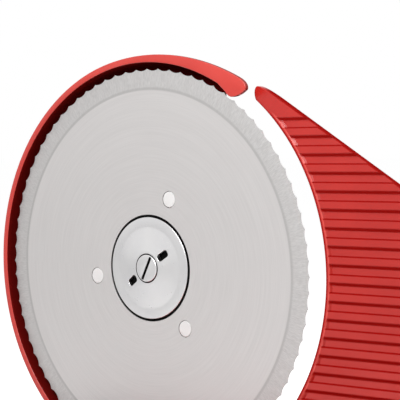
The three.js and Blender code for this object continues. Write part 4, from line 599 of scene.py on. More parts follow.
class Sum:
    """A value socket that takes part in sums, as a number does."""

    def __init__(self, board: "Board", socket: Socket) -> None:
        """Keeps the socket and the board that its nodes are added to."""
        self.board = board
        self.socket = socket

    def math(self, operation: str, *others: "Sum | float", first: "float | None" = None) -> "Sum":
        """Adds one Math node.

        Args:
            operation: The node's operation.
            others: The values after this one.
            first: A number that comes before this one, if any.

        Returns:
            The node's result.
        """
        values = [self, *others] if first is None else [first, self, *others]
        inputs = {i: value for i, value in enumerate(values)}
        return self.board.value("ShaderNodeMath", {"operation": operation}, inputs)

    def __add__(self, other: "Sum | float") -> "Sum":
        """The sum."""
        return self.math("ADD", other)

    __radd__ = __add__

    def __sub__(self, other: "Sum | float") -> "Sum":
        """The difference."""
        return self.math("SUBTRACT", other)

    def __rsub__(self, other: float) -> "Sum":
        """The difference from a number."""
        return self.math("SUBTRACT", first=other)

    def __mul__(self, other: "Sum | float") -> "Sum":
        """The product."""
        return self.math("MULTIPLY", other)

    __rmul__ = __mul__

    def __truediv__(self, other: "Sum | float") -> "Sum":
        """The quotient."""
        return self.math("DIVIDE", other)

    def between(self, low: float, high: float) -> "Sum":
        """How far the value is from low to high, held to 0 and 1, with soft ends.

        Args:
            low: The value that gives 0.
            high: The value that gives 1.

        Returns:
            The share of the way.
        """
        settings = {"interpolation_type": "SMOOTHSTEP"}
        inputs = {"Value": self, "From Min": low, "From Max": high, "To Min": 0.0, "To Max": 1.0}
        return self.board.value("ShaderNodeMapRange", settings, inputs)

    def past(self, level: float, fade: Point) -> "Sum":
        """How far the value is through a fade that is measured from a level."""
        return self.between(level + fade[0], level + fade[1])

    def reach(self, other: "Sum") -> "Sum":
        """The distance from the origin of the point that this value and another give."""
        return (self * self + other * other).math("SQRT")

    def larger(self, other: "Sum | float") -> "Sum":
        """The larger of this value and another."""
        return self.math("MAXIMUM", other)


class Board:
    """The node tree of a material or of the world while it is wired."""

    def __init__(self, owner: "Material | bpy.types.World") -> None:
        """Empties the tree of a new material or world.

        Args:
            owner: The new material or world.
        """
        self.owner = owner
        owner.use_nodes = True
        self.tree = owner.node_tree
        self.tree.nodes.clear()

    def node(self, kind: str, settings: dict[str, object], inputs: dict[object, object]) -> bpy.types.Node:
        """Adds any node.

        Args:
            kind: The node's type.
            settings: The node's own settings, which are set first.
            inputs: The values or links of its sockets, by name or number.

        Returns:
            The new node.
        """
        node = self.tree.nodes.new(kind)
        for name, value in settings.items():
            setattr(node, name, value)
        for key, value in inputs.items():
            socket = node.inputs[key]
            if isinstance(value, Sum):
                self.tree.links.new(value.socket, socket)
            elif isinstance(value, Socket):
                self.tree.links.new(value, socket)
            else:
                socket.default_value = value
        return node

    def value(self, kind: str, settings: dict[str, object], inputs: dict[object, object]) -> Sum:
        """Adds a node and takes its first result as a value."""
        return Sum(self, self.node(kind, settings, inputs).outputs[0])

    def spot(self) -> Socket:
        """The point that is shaded, in the object's coordinates."""
        return self.node("ShaderNodeTexCoord", {}, {}).outputs["Object"]

    def local(self) -> tuple[Sum, Sum, Sum]:
        """The point that is shaded, in millimetres about the blade's centre.

        Returns:
            Its x, y and z.
        """
        shift = {0: self.spot(), 1: tuple(ORIGIN)}
        shifted = self.node("ShaderNodeVectorMath", {"operation": "SUBTRACT"}, shift).outputs[0]
        parts = self.node("ShaderNodeSeparateXYZ", {}, {0: self.scaled(shifted, (1 / MM,) * 3)})
        return tuple(Sum(self, parts.outputs[i]) for i in range(3))

    def scaled(self, vector: Socket, scale: Sequence[float]) -> Socket:
        """A vector multiplied part by part."""
        inputs = {0: vector, 1: tuple(scale)}
        return self.node("ShaderNodeVectorMath", {"operation": "MULTIPLY"}, inputs).outputs[0]

    def noise(
        self, vector: Socket, size: float, detail: float = 2.0, roughness: float = 0.5
    ) -> Sum:
        """Smooth noise between 0 and 1.

        Args:
            vector: Where it is read.
            size: The size of its features, in millimetres.
            detail: The count of finer layers.
            roughness: The strength of the finer layers.

        Returns:
            The noise.
        """
        inputs = {"Vector": vector, "Scale": 1 / (size * MM), "Detail": detail, "Roughness": roughness}
        return self.value("ShaderNodeTexNoise", {}, inputs)

    def mixed(self, share: Sum, first: object, second: object) -> Socket:
        """A colour between two colours.

        Args:
            share: How much of the second colour there is.
            first: A colour, or the socket that gives it.
            second: Another colour, or the socket that gives it.

        Returns:
            The socket of the mixed colour.
        """
        node = self.node("ShaderNodeMix", {"data_type": "RGBA"}, {})
        for socket, value in zip((node.inputs[6], node.inputs[7]), (first, second)):
            if isinstance(value, Socket):
                self.tree.links.new(value, socket)
            else:
                socket.default_value = (*value, 1.0)
        self.tree.links.new(share.socket, node.inputs[0])
        return node.outputs[2]

    def bumped(self, height: Sum, depth: float) -> Socket:
        """A normal from a height between 0 and 1, whose depth is in millimetres."""
        inputs = {"Height": height, "Distance": depth * MM, "Strength": 1.0}
        return self.node("ShaderNodeBump", {}, inputs).outputs[0]

    def polished(
        self, shader: dict[str, object], dark: "Sum | None" = None, shadow: Colour = (0.0, 0.0, 0.0)
    ) -> Material:
        """Ends the tree in one principled shader, or in two that are mixed.

        Args:
            shader: The inputs of the lit surface.
            dark: Where shade is painted on the surface, if anywhere.
            shadow: The colour of the painted shade, which has no gloss.

        Returns:
            The finished material.
        """
        surface = self.node("ShaderNodeBsdfPrincipled", {}, shader).outputs[0]
        if dark is not None:
            # The second shader is painted shade: a plain dark colour without gloss, mixed in where shade
            # falls.
            plain = {"Base Color": (*shadow, 1.0), "Roughness": 1.0, "Specular IOR Level": 0.0}
            corner = self.node("ShaderNodeBsdfPrincipled", {}, plain).outputs[0]
            surface = self.node("ShaderNodeMixShader", {}, {0: dark, 1: surface, 2: corner}).outputs[0]
        self.node("ShaderNodeOutputMaterial", {}, {"Surface": surface})
        return self.owner


def linear(red: int, green: int, blue: int) -> Colour:
    """A display colour of three numbers from 0 to 255, in the scene's linear light."""
    parts = (part / 255 for part in (red, green, blue))
    return tuple(part / 12.92 if part <= 0.04045 else ((part + 0.055) / 1.055) ** 2.4 for part in parts)


@dataclass(frozen=True)
class Enamel:
    """Glossy enamel on a casting, with a faint orange peel."""

    name: str = "red_enamel"
    colour: Colour = linear(214, 36, 26)
    deep: Colour = linear(204, 30, 22)
    # The colour of painted shade, on the subclasses that paint any
    shadow: Colour = linear(34, 6, 5)
    roughness: float = 0.3
    gloss: float = 0.12
    gloss_roughness: float = 0.12
    cloud_size: float = 38.0
    peel_size: float = 1.7
    grain_size: float = 0.35
    peel_depth: float = 0.035

    def shade(self, board: Board) -> "Sum | None":
        """Where shade is painted on the enamel: nowhere on a plain casting."""
        return None

    def with_painted_highlight(self, board: Board, colour: Socket) -> Socket:
        """The open surface's colour, with no painted highlight on a plain casting."""
        return colour

    def material(self) -> Material:
        """Wires the enamel: broad clouds in its colour, and peel and grains in its bump; a subclass adds
        painted highlight and painted shade.

        Returns:
            The finished material.
        """
        board = Board(bpy.data.materials.new(self.name))
        spot = board.spot()
        clouds = board.noise(spot, self.cloud_size, 3.0)
        peel = board.noise(spot, self.peel_size, 2.0, 0.45)
        grains = board.noise(spot, self.grain_size, 1.0)
        colour = board.mixed(clouds.between(0.35, 0.7), self.deep, self.colour)
        lit = {
            "Base Color": self.with_painted_highlight(board, colour),
            "Roughness": clouds * 0.05 + peel * 0.05 + (self.roughness - 0.05),
            "Coat Weight": self.gloss,
            "Coat Roughness": self.gloss_roughness,
            "IOR": 1.5,
            "Normal": board.bumped(peel * 0.85 + grains * 0.15, self.peel_depth),
        }
        return board.polished(lit, self.shade(board), self.shadow)


@dataclass(frozen=True)
class GuardEnamel(Enamel):
    """The housing's enamel, with painted shade in the gap round the blade and a painted dark reflection on
    the lip's thin edge and the finger's side.

    Each pair of sizes is the two distances, in millimetres, between which a place fades.
    """

    name: str = "guard_enamel"
    # A paler red than the plain enamel's: the lift in green and blue is painted sheen.
    colour: Colour = linear(209, 63, 54)
    deep: Colour = linear(202, 57, 49)
    # The colour of the painted shade and of the painted dark reflection
    shadow: Colour = linear(100, 14, 12)
    inside_fade: Point = (-0.2, 0.2)
    inside_front: Point = (0.12, 0.45)
    side_fade: Point = (-0.6, -0.3)
    side_front: Point = (0.2, 0.5)
    side_strength: float = 0.6
    lip_back: Point = (0.6, 0.8)
    finger_back: Point = (1.9, 2.1)
    finger_lean: float = 0.5
    finger_from: Point = (105.0, 110.0)

    def shade(self, board: Board) -> Sum:
        """Painted shade inside the guard, and a painted dark reflection on the edge of its lip and the
        finger's side.

        Args:
            board: The material's board.

        Returns:
            How much painted shade each place gets.
        """
        x, y, z = board.local()
        radius = x.reach(z)
        beyond = (radius - (GUARD_OUTER - GUARD_BEND)).larger(0.0)
        behind = (y - (PAN_FRONT + CASTING_WALL - GUARD_BEND)).larger(0.0)
        # Painted shade on the guard's inside, behind the blade's edge.
        inside = 1 - beyond.reach(behind).past(GUARD_BEND - CASTING_WALL / 2, self.inside_fade)
        inside = inside * y.past(GUARD_FRONT, self.inside_front)
        # A painted dark reflection along the lip's outer edge and the finger's side.
        side = radius.past(GUARD_OUTER, self.side_fade) * y.past(GUARD_FRONT, self.side_front)
        finger = (x * self.finger_lean + z).between(*self.finger_from)
        lip = (1 - finger) * (1 - y.past(GUARD_FRONT, self.lip_back))
        tip = finger * (1 - y.past(GUARD_FRONT, self.finger_back))
        return inside.larger(side * (lip + tip) * self.side_strength)


@dataclass(frozen=True)
class PlateEnamel(Enamel):
    """The guide plate's enamel, with painted shade along its grooves, a painted dark reflection on its rims
    and its sloping edge, and a painted highlight along the hollow edge.

    Each pair of sizes is the two distances, in millimetres, between which a place fades.
    """

    name: str = "plate_enamel"
    # A darker red than the plain enamel's: painted shade, for the plate stands where less light falls.
    colour: Colour = linear(192, 37, 29)
    deep: Colour = linear(184, 32, 25)
    # The colour of the painted shade and of the painted dark reflection on the grooves and edges
    shadow: Colour = linear(158, 21, 18)
    # The colour of the painted highlight along the hollow edge
    glint: Colour = linear(238, 92, 82)
    crease_level: float = 0.05
    crease_widths: Point = (0.1, 0.5)
    bank_level: float = -0.85
    bank_widths: Point = (0.15, 1.3)
    lines_back: Point = (1.3, 1.6)
    lines_top: Point = (0.0, 0.2)
    lines_start: Point = (1.4, 2.2)
    edge_fade: Point = (0.2, 0.9)
    edge_front: Point = (-0.1, -0.05)
    edge_back: Point = (3.0, 3.3)
    rim_fade: Point = (0.7, 1.3)
    rim_back: Point = (1.3, 1.5)
    rim_strength: float = 0.3
    low_rim_strength: float = 0.6
    low_fade: Point = (0.0, 3.0)
    glint_middle: float = 1.75
    glint_widths: Point = (0.1, 0.6)
    glint_back: Point = (0.3, 0.6)
    glint_strength: float = 0.6

    def shade(self, board: Board) -> Sum:
        """Painted shade on the grooves' two sides, and a painted dark reflection on the rim round the blade
        and on the plate's sloping edge.

        Args:
            board: The material's board.

        Returns:
            How much painted shade each place gets.
        """
        x, y, z = board.local()
        on_face = 1 - y.past(PLATE_FACE, self.lines_back)
        # Painted shade: a thin line in the crease at each groove's lower edge, and a broad band on each
        # groove's upper slope.
        crease = self._line(z, FIRST_GROOVE_TOP - GROOVE_HEIGHT + self.crease_level, self.crease_widths)
        bank = self._line(z, FIRST_GROOVE_TOP + self.bank_level, self.bank_widths)
        # A painted dark reflection along the sloping edge.
        inset = (PLATE_SLOPE_AT_AXIS - x * PLATE_SLOPE - z) / math.hypot(1, PLATE_SLOPE)
        edge = (1 - inset.between(*self.edge_fade)) * y.past(PLATE_FACE, self.edge_front)
        edge = edge * (1 - y.past(PLATE_FACE, self.edge_back))
        grooved = on_face * (1 - z.past(FIRST_GROOVE_TOP, self.lines_top))
        radius = x.reach(z)
        lines = crease.larger(bank) * grooved * radius.past(PLATE_HOLLOW, self.lines_start)
        # A painted dark reflection round the hollow edge, stronger below the grooves' top.
        rim = (1 - radius.past(PLATE_HOLLOW, self.rim_fade)) * (1 - y.past(PLATE_FACE, self.rim_back))
        low = 1 - z.past(FIRST_GROOVE_TOP, self.low_fade)
        return lines.larger(edge).larger(rim * (low * self.low_rim_strength + self.rim_strength))

    def _line(self, z: Sum, level: float, widths: Point) -> Sum:
        """A level line of painted shade that repeats from groove to groove.

        Args:
            z: The height.
            level: The height of the first line.
            widths: Half the width of its darkest part, and half its whole width.

        Returns:
            The line's strength.
        """
        turns = (z - level) / GROOVE_PITCH + 0.5
        distance = (turns.math("FRACT") - 0.5).math("ABSOLUTE") * GROOVE_PITCH
        return 1 - distance.between(*widths)

    def with_painted_highlight(self, board: Board, colour: Socket) -> Socket:
        """The colour with a painted highlight along the hollow edge.

        Args:
            board: The material's board.
            colour: The colour away from the line.

        Returns:
            The socket of the colour with the painted highlight.
        """
        x, y, z = board.local()
        # A painted highlight: a bright line along the hollow edge, below the grooves' top.
        distance = (x.reach(z) - PLATE_HOLLOW - self.glint_middle).math("ABSOLUTE")
        line = 1 - distance.between(*self.glint_widths)
        low = 1 - z.past(FIRST_GROOVE_TOP, self.low_fade)
        near = 1 - y.past(PLATE_FACE, self.glint_back)
        return board.mixed(line * low * near * self.glint_strength, colour, self.glint)


@dataclass(frozen=True)
class BladeSteel:
    """Stainless steel, ground satin, with a bevel ground across its edge."""

    name: str = "ground_steel"
    body: Colour = linear(217, 214, 213)
    ring: Colour = linear(210, 207, 206)
    bevel: Colour = linear(210, 208, 207)
    mark: Colour = linear(190, 188, 187)
    # The colour of the painted shade line where the bevel begins
    line: Colour = linear(182, 180, 179)
    metallic: float = 0.82
    roughness: float = 0.34
    bevel_fade: Point = (-0.25, 0.25)
    coarse_rings: Point = (0.8, 1.3)
    fine_rings: Point = (4.5, 3.0)
    fine_marks: Point = (0.45, 290.0)
    broad_marks: Point = (0.16, 75.0)
    line_middle: float = 0.5
    line_widths: Point = (0.2, 1.1)
    line_strength: float = 0.75
    scratch_depth: float = 0.006

    def material(self) -> Material:
        """Wires the steel: faint rings on the body, short cross marks on the bevel and a painted shade line
        where the bevel begins.

        Returns:
            The finished material.
        """
        board = Board(bpy.data.materials.new(self.name))
        x, _, z = board.local()
        radius = x.reach(z)
        angle = z.math("ARCTAN2", x)
        on_bevel = radius.past(BEVEL_FROM, self.bevel_fade)
        coarse = self._streaks(board, radius, angle, self.coarse_rings)
        fine = self._streaks(board, radius, angle, self.fine_rings)
        rings = coarse * 0.4 + fine * 0.6
        cross = self._streaks(board, radius, angle, self.fine_marks)
        broad = self._streaks(board, radius, angle, self.broad_marks)
        marks = cross * 0.7 + broad * 0.3
        body = board.mixed(rings.between(0.3, 0.7), self.ring, self.body)
        bevel = board.mixed(marks.between(0.3, 0.72), self.mark, self.bevel)
        ground = board.mixed(on_bevel, body, bevel)
        # Painted shade: a darker line along the fold where the bevel begins.
        distance = (radius - BEVEL_FROM - self.line_middle).math("ABSOLUTE")
        crease = (1 - distance.between(*self.line_widths)) * self.line_strength
        height = rings * (1 - on_bevel) + marks * on_bevel
        return board.polished({
            "Base Color": board.mixed(crease, ground, self.line),
            "Metallic": self.metallic,
            "Roughness": on_bevel * 0.05 + height * 0.08 + self.roughness,
            "Normal": board.bumped(height, self.scratch_depth),
        })

    @staticmethod
    def _streaks(board: Board, radius: Sum, angle: Sum, scales: Point) -> Sum:
        """Noise that is drawn out round the blade or along its radius.

        Args:
            board: The material's board.
            radius: The distance from the blade's axis.
            angle: The angle round the axis.
            scales: How fast the noise changes with the radius and with the angle.

        Returns:
            The noise.
        """
        inputs = {0: radius * scales[0], 1: angle * scales[1]}
        vector = board.node("ShaderNodeCombineXYZ", {}, inputs).outputs[0]
        return board.value("ShaderNodeTexNoise", {}, {"Vector": vector, "Scale": 1.0, "Detail": 2.0})


@dataclass(frozen=True)
class Metal:
    """A bare or plated metal, brushed along one direction."""

    name: str
    colour: Colour
    dull: Colour
    roughness: float
    grain: tuple[float, float, float]
    depth: float

    def shade(self, board: Board) -> "Sum | None":
        """Where shade is painted on the metal: nowhere on a plain piece."""
        return None

    def material(self) -> Material:
        """Wires the metal: drawn-out grain over faint clouds, and a subclass's painted shade.

        Returns:
            The finished material.
        """
        board = Board(bpy.data.materials.new(self.name))
        spot = board.spot()
        grain = board.noise(board.scaled(spot, self.grain), 1.0, 2.0)
        clouds = board.noise(spot, 14.0, 2.0)
        lit = {
            "Base Color": board.mixed(clouds.between(0.3, 0.7), self.dull, self.colour),
            "Metallic": 1.0,
            "Roughness": grain * self.roughness * 0.5 + clouds * 0.04 + self.roughness * 0.7,
            "Normal": board.bumped(grain, self.depth),
        }
        # Any painted shade is near black.
        return board.polished(lit, self.shade(board), linear(14, 14, 14))


@dataclass(frozen=True)
class HubPlate(Metal):
    """The plating of the hub's cover and screw, with painted shade in the screw's recess and on the cover's
    side.
    """

    recess: Point = (7.0, 7.1)
    recess_depth: Point = (-2.25, -2.0)
    side: Point = (23.6, 23.9)
    side_depth: Point = (-0.12, 0.05)

    def shade(self, board: Board) -> Sum:
        """Painted shade on what lies behind the screw's face, and on the cover's outer side.

        Args:
            board: The material's board.

        Returns:
            How much painted shade each place gets.
        """
        x, y, z = board.local()
        radius = x.reach(z)
        # Painted shade behind the screw's face, in its recess, and on the cover's outer side.
        deep = (1 - radius.between(*self.recess)) * y.between(*self.recess_depth)
        return deep.larger(y.between(*self.side_depth) * radius.between(*self.side))


@dataclass(frozen=True)
class Moulding:
    """Moulded plastic or rubber with a fine spark-eroded grain."""

    name: str
    colour: Colour
    worn: Colour
    roughness: float
    grain: float
    depth: float
    ior: float = 1.45

    def material(self) -> Material:
        """Wires the moulding: grain in the bump and broad wear in the colour.

        Returns:
            The finished material.
        """
        board = Board(bpy.data.materials.new(self.name))
        spot = board.spot()
        grain = board.noise(spot, self.grain, 2.0)
        wear = board.noise(spot, 22.0, 3.0)
        return board.polished({
            "Base Color": board.mixed(wear.between(0.45, 0.75), self.colour, self.worn),
            "Roughness": grain * 0.12 + wear * 0.08 + (self.roughness - 0.1),
            "IOR": self.ior,
            "Normal": board.bumped(grain, self.depth),
        })


class Finishes:
    """Every finish on the machine, made once."""

    def __init__(self) -> None:
        """Wires the materials."""
        self.guard = GuardEnamel().material()
        self.plate = PlateEnamel().material()
        even, drawn, grainy = (1.0, 1.0, 1.0), (0.2, 3.0, 3.0), (3.0, 3.0, 3.0)
        pale, dull = linear(226, 225, 225), linear(221, 220, 221)
        self.hub = HubPlate("hub_plating", pale, dull, 0.3, even, 0.002).material()
        black, grey = linear(10, 10, 10), linear(15, 15, 15)
        self.gasket = Moulding("matt_gasket", black, grey, 0.85, 0.28, 0.01, 1.15).material()
        bright = (linear(232, 231, 231), linear(226, 225, 226))
        steel = (linear(196, 197, 199), linear(180, 181, 184))
        bronze = (linear(186, 142, 84), linear(160, 118, 66))
        nylon = (linear(231, 231, 230), linear(224, 224, 222))
        plastic = (linear(22, 22, 23), linear(32, 32, 34))
        rubber = (linear(24, 24, 25), linear(40, 40, 41))
        finishes = {
            Slot.RED: Enamel(),
            Slot.BLADE: BladeSteel(),
            Slot.CHROME: Metal("bright_plate", *bright, 0.2, even, 0.002),
            Slot.STEEL: Metal("drawn_steel", *steel, 0.34, drawn, 0.006),
            Slot.BRONZE: Metal("sintered_bronze", *bronze, 0.42, grainy, 0.01),
            Slot.NYLON: Moulding("white_nylon", *nylon, 0.5, 0.4, 0.01),
            Slot.BLACK: Moulding("black_plastic", *plastic, 0.46, 0.28, 0.02),
            Slot.RUBBER: Moulding("black_rubber", *rubber, 0.8, 0.5, 0.03),
        }
        self.by_slot = {slot: finish.material() for slot, finish in finishes.items()}

    def __getitem__(self, slot: Slot) -> Material:
        """The material of a slot."""
        return self.by_slot[slot]


@dataclass
class Shop:
    """Dresses finished solids and hands them to the frame."""

    finishes: Finishes
    count: int = 0

    def deliver(
        self, obj: Solid, name: str, slot: Slot, body: Body, *nodes: str,
        sharp: float = 32.0, finish: "Material | None" = None,
    ) -> Solid:
        """Names, smooths and paints a piece, and lets it ride on its body.

        Args:
            obj: The finished solid.
            name: The piece's name.
            slot: The material slot that its finish comes from.
            body: The body that it rides on.
            nodes: The CAD nodes that it stands for.
            sharp: The angle in degrees above which an edge stays sharp.
            finish: A finish of its own, in place of the slot's.

        Returns:
            The piece.
        """
        Bench.smooth(obj, sharp)
        obj.name = name
        obj.data.name = name
        obj.data.materials.clear()
        obj.data.materials.append(finish or self.finishes[slot])
        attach(obj, body.value)
        if nodes:
            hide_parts(*nodes)
        self.count += 1
        log.info("%s: %d faces on %s", name, len(obj.data.polygons), body.value)
        return obj

    def carry_over(self) -> None:
        """Gives every CAD node that stays in sight its procedural finish."""
        slots = {part["node"]: part["material_slot"] for part in frame["record"]["subparts"]}
        for name, node in frame["nodes"].items():
            material = self.finishes[Slot(slots[name])]
            if not node.material_slots:
                node.data.materials.append(material)
            for place_for in node.material_slots:
                place_for.material = material


# The blade and its hub


@dataclass
class BladeUnit:
    """The scalloped blade with its seat, cover, screw and pegs."""

    radius: float = 95.0
    thickness: float = 1.5
    bevel: float = 95.0 - BEVEL_FROM
    bevel_soft: float = 0.4
    bevel_depth: float = 0.3
    back_bevel: float = 4.0
    edge_land: float = 3.0
    edge_sheet: float = 0.12
    scallop_dish: float = 0.12
    bore: float = 25.6
    scallops: int = 84
    steps_per_scallop: int = 12
    scallop_depth: float = 1.0
    pegs: int = 3
    peg_circle: float = 35.4
    peg_radius: float = 3.75
    peg_gap: float = 0.25
    peg_sunk: float = 0.02
    peg_crown: float = 0.1
    peg_edge: float = 0.3
    peg_back: float = 1.6
    first_peg: float = 68.5
    seat_radius: float = 25.4
    seat_wall: float = 1.0
    seat_front: float = 0.08
    seat_floor: float = 0.9
    seat_edge: float = 0.15
    cover_radius: float = 24.35
    cover_front: float = -0.4
    cover_back: float = 0.6
    cover_centre: float = -2.15
    cone: Point = (7.3, 19.3)
    cone_bend: float = 0.02
    recess_lip: tuple[Point, ...] = ((0.0, 0.3), (0.1, 0.08), (0.3, 0.02))
    rim_lip: tuple[Point, ...] = ((0.15, -0.02), (0.7, 0.0))
    cover_edge: float = 0.3
    cover_slot: Point = (6.2, 3.5)
    cover_slot_round: float = 0.36
    cover_slot_circle: float = 11.6
    cover_slot_angle: float = 33.0
    screw_radius: float = 6.55
    screw_gap: float = 0.45
    screw_face: float = -2.45
    screw_head: float = 1.4
    screw_edge: float = 0.45
    screw_length: float = 13.0
    screw_slot: Point = (12.2, 1.5)
    screw_slot_depth: float = 0.95
    screw_slot_angle: float = 62.7
    shank: float = 2.5

    def build(self, shop: Shop) -> None:
        """Makes and delivers every piece of the unit."""
        shop.deliver(self.blade(), "blade_disc", Slot.BLADE, Body.BLADE, "blade", sharp=24.0)
        gasket = shop.finishes.gasket
        shop.deliver(self.seat(), "blade_gasket", Slot.BLACK, Body.BLADE, "blade_seat", finish=gasket)
        plating = shop.finishes.hub
        shop.deliver(self.cover(), "hub_cover", Slot.CHROME, Body.BLADE, "blade_cover", finish=plating)
        shop.deliver(self.screw(), "hub_screw", Slot.CHROME, Body.BLADE, "cover_screw", finish=plating)
        for i in range(self.pegs):
            shop.deliver(self.peg(i), f"hub_peg_{i + 1}", Slot.NYLON, Body.BLADE)

    def blade(self) -> Solid:
        """Turns the disc ring by ring, grinds its scallops and drills it.

        Returns:
            The blade.
        """
        start = self.radius - self.bevel
        land = self.radius - self.edge_land
        rings = [
            (start - self.bevel_soft, 0.0),
            (start + self.bevel_soft, self.bevel_depth * self.bevel_soft / self.bevel),
            (land, self.bevel_depth * (1 - self.edge_land / self.bevel)),
            (self.radius, self.bevel_depth),
            (self.radius, self.bevel_depth + self.edge_sheet),
            (self.radius - self.back_bevel, self.thickness),
            (self.bore, self.thickness),
            (self.bore, 0.0),
        ]
        Bench.clear()
        bpy.ops.mesh.primitive_circle_add(
            vertices=self.scallops * self.steps_per_scallop,
            radius=self.bore * MM,
            location=ORIGIN,
            rotation=(math.pi / 2, 0, 0),
        )
        disc = bpy.context.object

        def turn() -> None:
            """Draws ring after ring out of the first."""
            radius, depth = self.bore, 0.0
            for next_radius, next_depth in rings:
                step = (0, (next_depth - depth) * MM, 0)
                bpy.ops.mesh.extrude_edges_move(TRANSFORM_OT_translate={"value": step})
                growth = next_radius / radius
                bpy.ops.transform.resize(value=(growth, 1, growth), center_override=tuple(ORIGIN))
                radius, depth = next_radius, next_depth
            bpy.ops.mesh.select_all(action="SELECT")
            bpy.ops.mesh.remove_doubles(threshold=MERGE)
            bpy.ops.mesh.normals_make_consistent(inside=False)

        Bench.settle(Bench.edit(disc, turn))
        self._grind(disc)
        hole = self.peg_radius + self.peg_gap
        holes = [
            Bench.pin(hole, -OVERRUN, self.thickness + OVERRUN, *self._peg_place(i))
            for i in range(self.pegs)
        ]
        return Bench.cut(disc, *holes)

    def _grind(self, disc: Solid) -> None:
        """Pulls the edge's vertices inwards into hollow arcs with points between them.

        Args:
            disc: The turned disc.
        """
        edge_from = self.radius - self.edge_land / 2
        pitch = math.tau * self.radius / self.scallops
        wheel = (pitch ** 2 / 4 + self.scallop_depth ** 2) / (2 * self.scallop_depth)
        for step in range(self.steps_per_scallop):
            offset = (step / self.steps_per_scallop - 0.5) * pitch
            sink = self.scallop_depth - wheel + math.sqrt(wheel ** 2 - offset ** 2)
            for vertex in disc.data.vertices:
                local = (vertex.co - ORIGIN) / MM
                turn = math.atan2(local.z, local.x) / math.tau * self.scallops * self.steps_per_scallop
                on_edge = math.hypot(local.x, local.z) > edge_from
                vertex.select = on_edge and round(turn) % self.steps_per_scallop == step
            for edge in disc.data.edges:
                edge.select = False
            for face in disc.data.polygons:
                face.select = False
            shrink = 1 - sink / self.radius
            Bench.hold(disc)
            bpy.ops.object.mode_set(mode="EDIT")
            bpy.ops.transform.resize(value=(shrink, 1, shrink), center_override=tuple(ORIGIN))
            bpy.ops.transform.translate(value=(0, self.scallop_dish * sink * MM, 0))
            bpy.ops.object.mode_set(mode="OBJECT")

    def _peg_place(self, number: int) -> Point:
        """Where a peg's axis stands."""
        return polar(self.peg_circle, self.first_peg + 360 * number / self.pegs)

    def peg(self, number: int) -> Solid:
        """A nylon peg's crowned end, flush with the blade.

        Args:
            number: The peg's number, from 0.

        Returns:
            The peg.
        """
        crown = [
            (self.peg_radius * share, self.peg_sunk - self.peg_crown * (1 - share ** 2))
            for share in (0, 0.3, 0.6, 0.85)
        ]
        edge = arc(self.peg_radius - self.peg_edge, self.peg_edge, self.peg_edge, -90, 0, 4)
        profile = [*crown, *edge, (self.peg_radius, self.peg_back), (0, self.peg_back)]
        return Bench.spun(profile, self._peg_place(number), Axis.ACROSS, 48)

    def seat(self) -> Solid:
        """The black cup in the blade's bore, whose rim frames the cover.

        Returns:
            The cup.
        """
        outer, inner = self.seat_radius, self.seat_radius - self.seat_wall
        bore = self.shank + SEAT_GAP
        profile = [
            (bore, self.seat_floor), (inner, self.seat_floor), (inner, self.seat_front),
            (outer - self.seat_edge, self.seat_front), (outer, self.seat_front + self.seat_edge),
            (outer, self.thickness),
            (bore, self.thickness),
        ]
        return Bench.spun(profile, (0, 0), Axis.ACROSS, 128, wire_closed=True)

    def cover(self) -> Solid:
        """The plated cover: a shallow cone inside a flat rim, with two slots for a tool.

        Returns:
            The cover.
        """
        inner, outer = self.cone
        recess = self.screw_radius + self.screw_gap
        recess_floor = self.screw_face + self.screw_head + SEAT_GAP
        bore = self.shank + SEAT_GAP
        rise = self.cover_front - self.cover_centre
        slope = [
            (inner + (outer - inner) * s, self.cover_centre + rise * (s - self.cone_bend * s ** 8))
            for s in (0.04, 0.2, 0.4, 0.6, 0.75, 0.86, 0.93, 0.98)
        ]
        corner = self.cover_radius - self.cover_edge
        profile = [
            (bore, recess_floor), (recess, recess_floor),
            *(moved((recess, self.cover_centre), step) for step in self.recess_lip),
            *slope,
            *(moved((outer, self.cover_front), step) for step in self.rim_lip),
            *arc(corner, self.cover_front + self.cover_edge, self.cover_edge, -90, 0, 4),
            (self.cover_radius, self.cover_back), (bore, self.cover_back),
        ]
        cover = Bench.spun(profile, (0, 0), Axis.ACROSS, 128, wire_closed=True)
        length, width = self.cover_slot
        box = rounded_box(-length / 2, -width / 2, length / 2, width / 2, width * self.cover_slot_round)
        for turn in (self.cover_slot_angle, self.cover_slot_angle + 180):
            outline = turned(box, turn, *polar(self.cover_slot_circle, turn))
            Bench.cut(cover, Bench.slab(outline, self.cover_centre - OVERRUN, self.cover_back + OVERRUN))
        return Bench.eased(cover, 0.15, 3, 60.0)

    def screw(self) -> Solid:
        """The cover's screw with its coin slot.

        Returns:
            The screw.
        """
        back = self.screw_face + self.screw_head
        soft = self.screw_edge
        edge = arc(self.screw_radius - soft, self.screw_face + soft, soft, -90, 0, 5)
        profile = [
            (0, self.screw_face), *edge, (self.screw_radius, back), (self.shank, back),
            (self.shank, back + self.screw_length), (0, back + self.screw_length),
        ]
        screw = Bench.spun(profile, (0, 0), Axis.ACROSS, 96)
        length, width = self.screw_slot
        box = rounded_box(-length / 2, -width / 2, length / 2, width / 2, width / 2.2)
        outline = turned(box, self.screw_slot_angle)
        floor = self.screw_face + self.screw_slot_depth
        Bench.cut(screw, Bench.slab(outline, self.screw_face - OVERRUN, floor))
        return Bench.eased(screw, 0.12, 2, 60.0)


# The housing


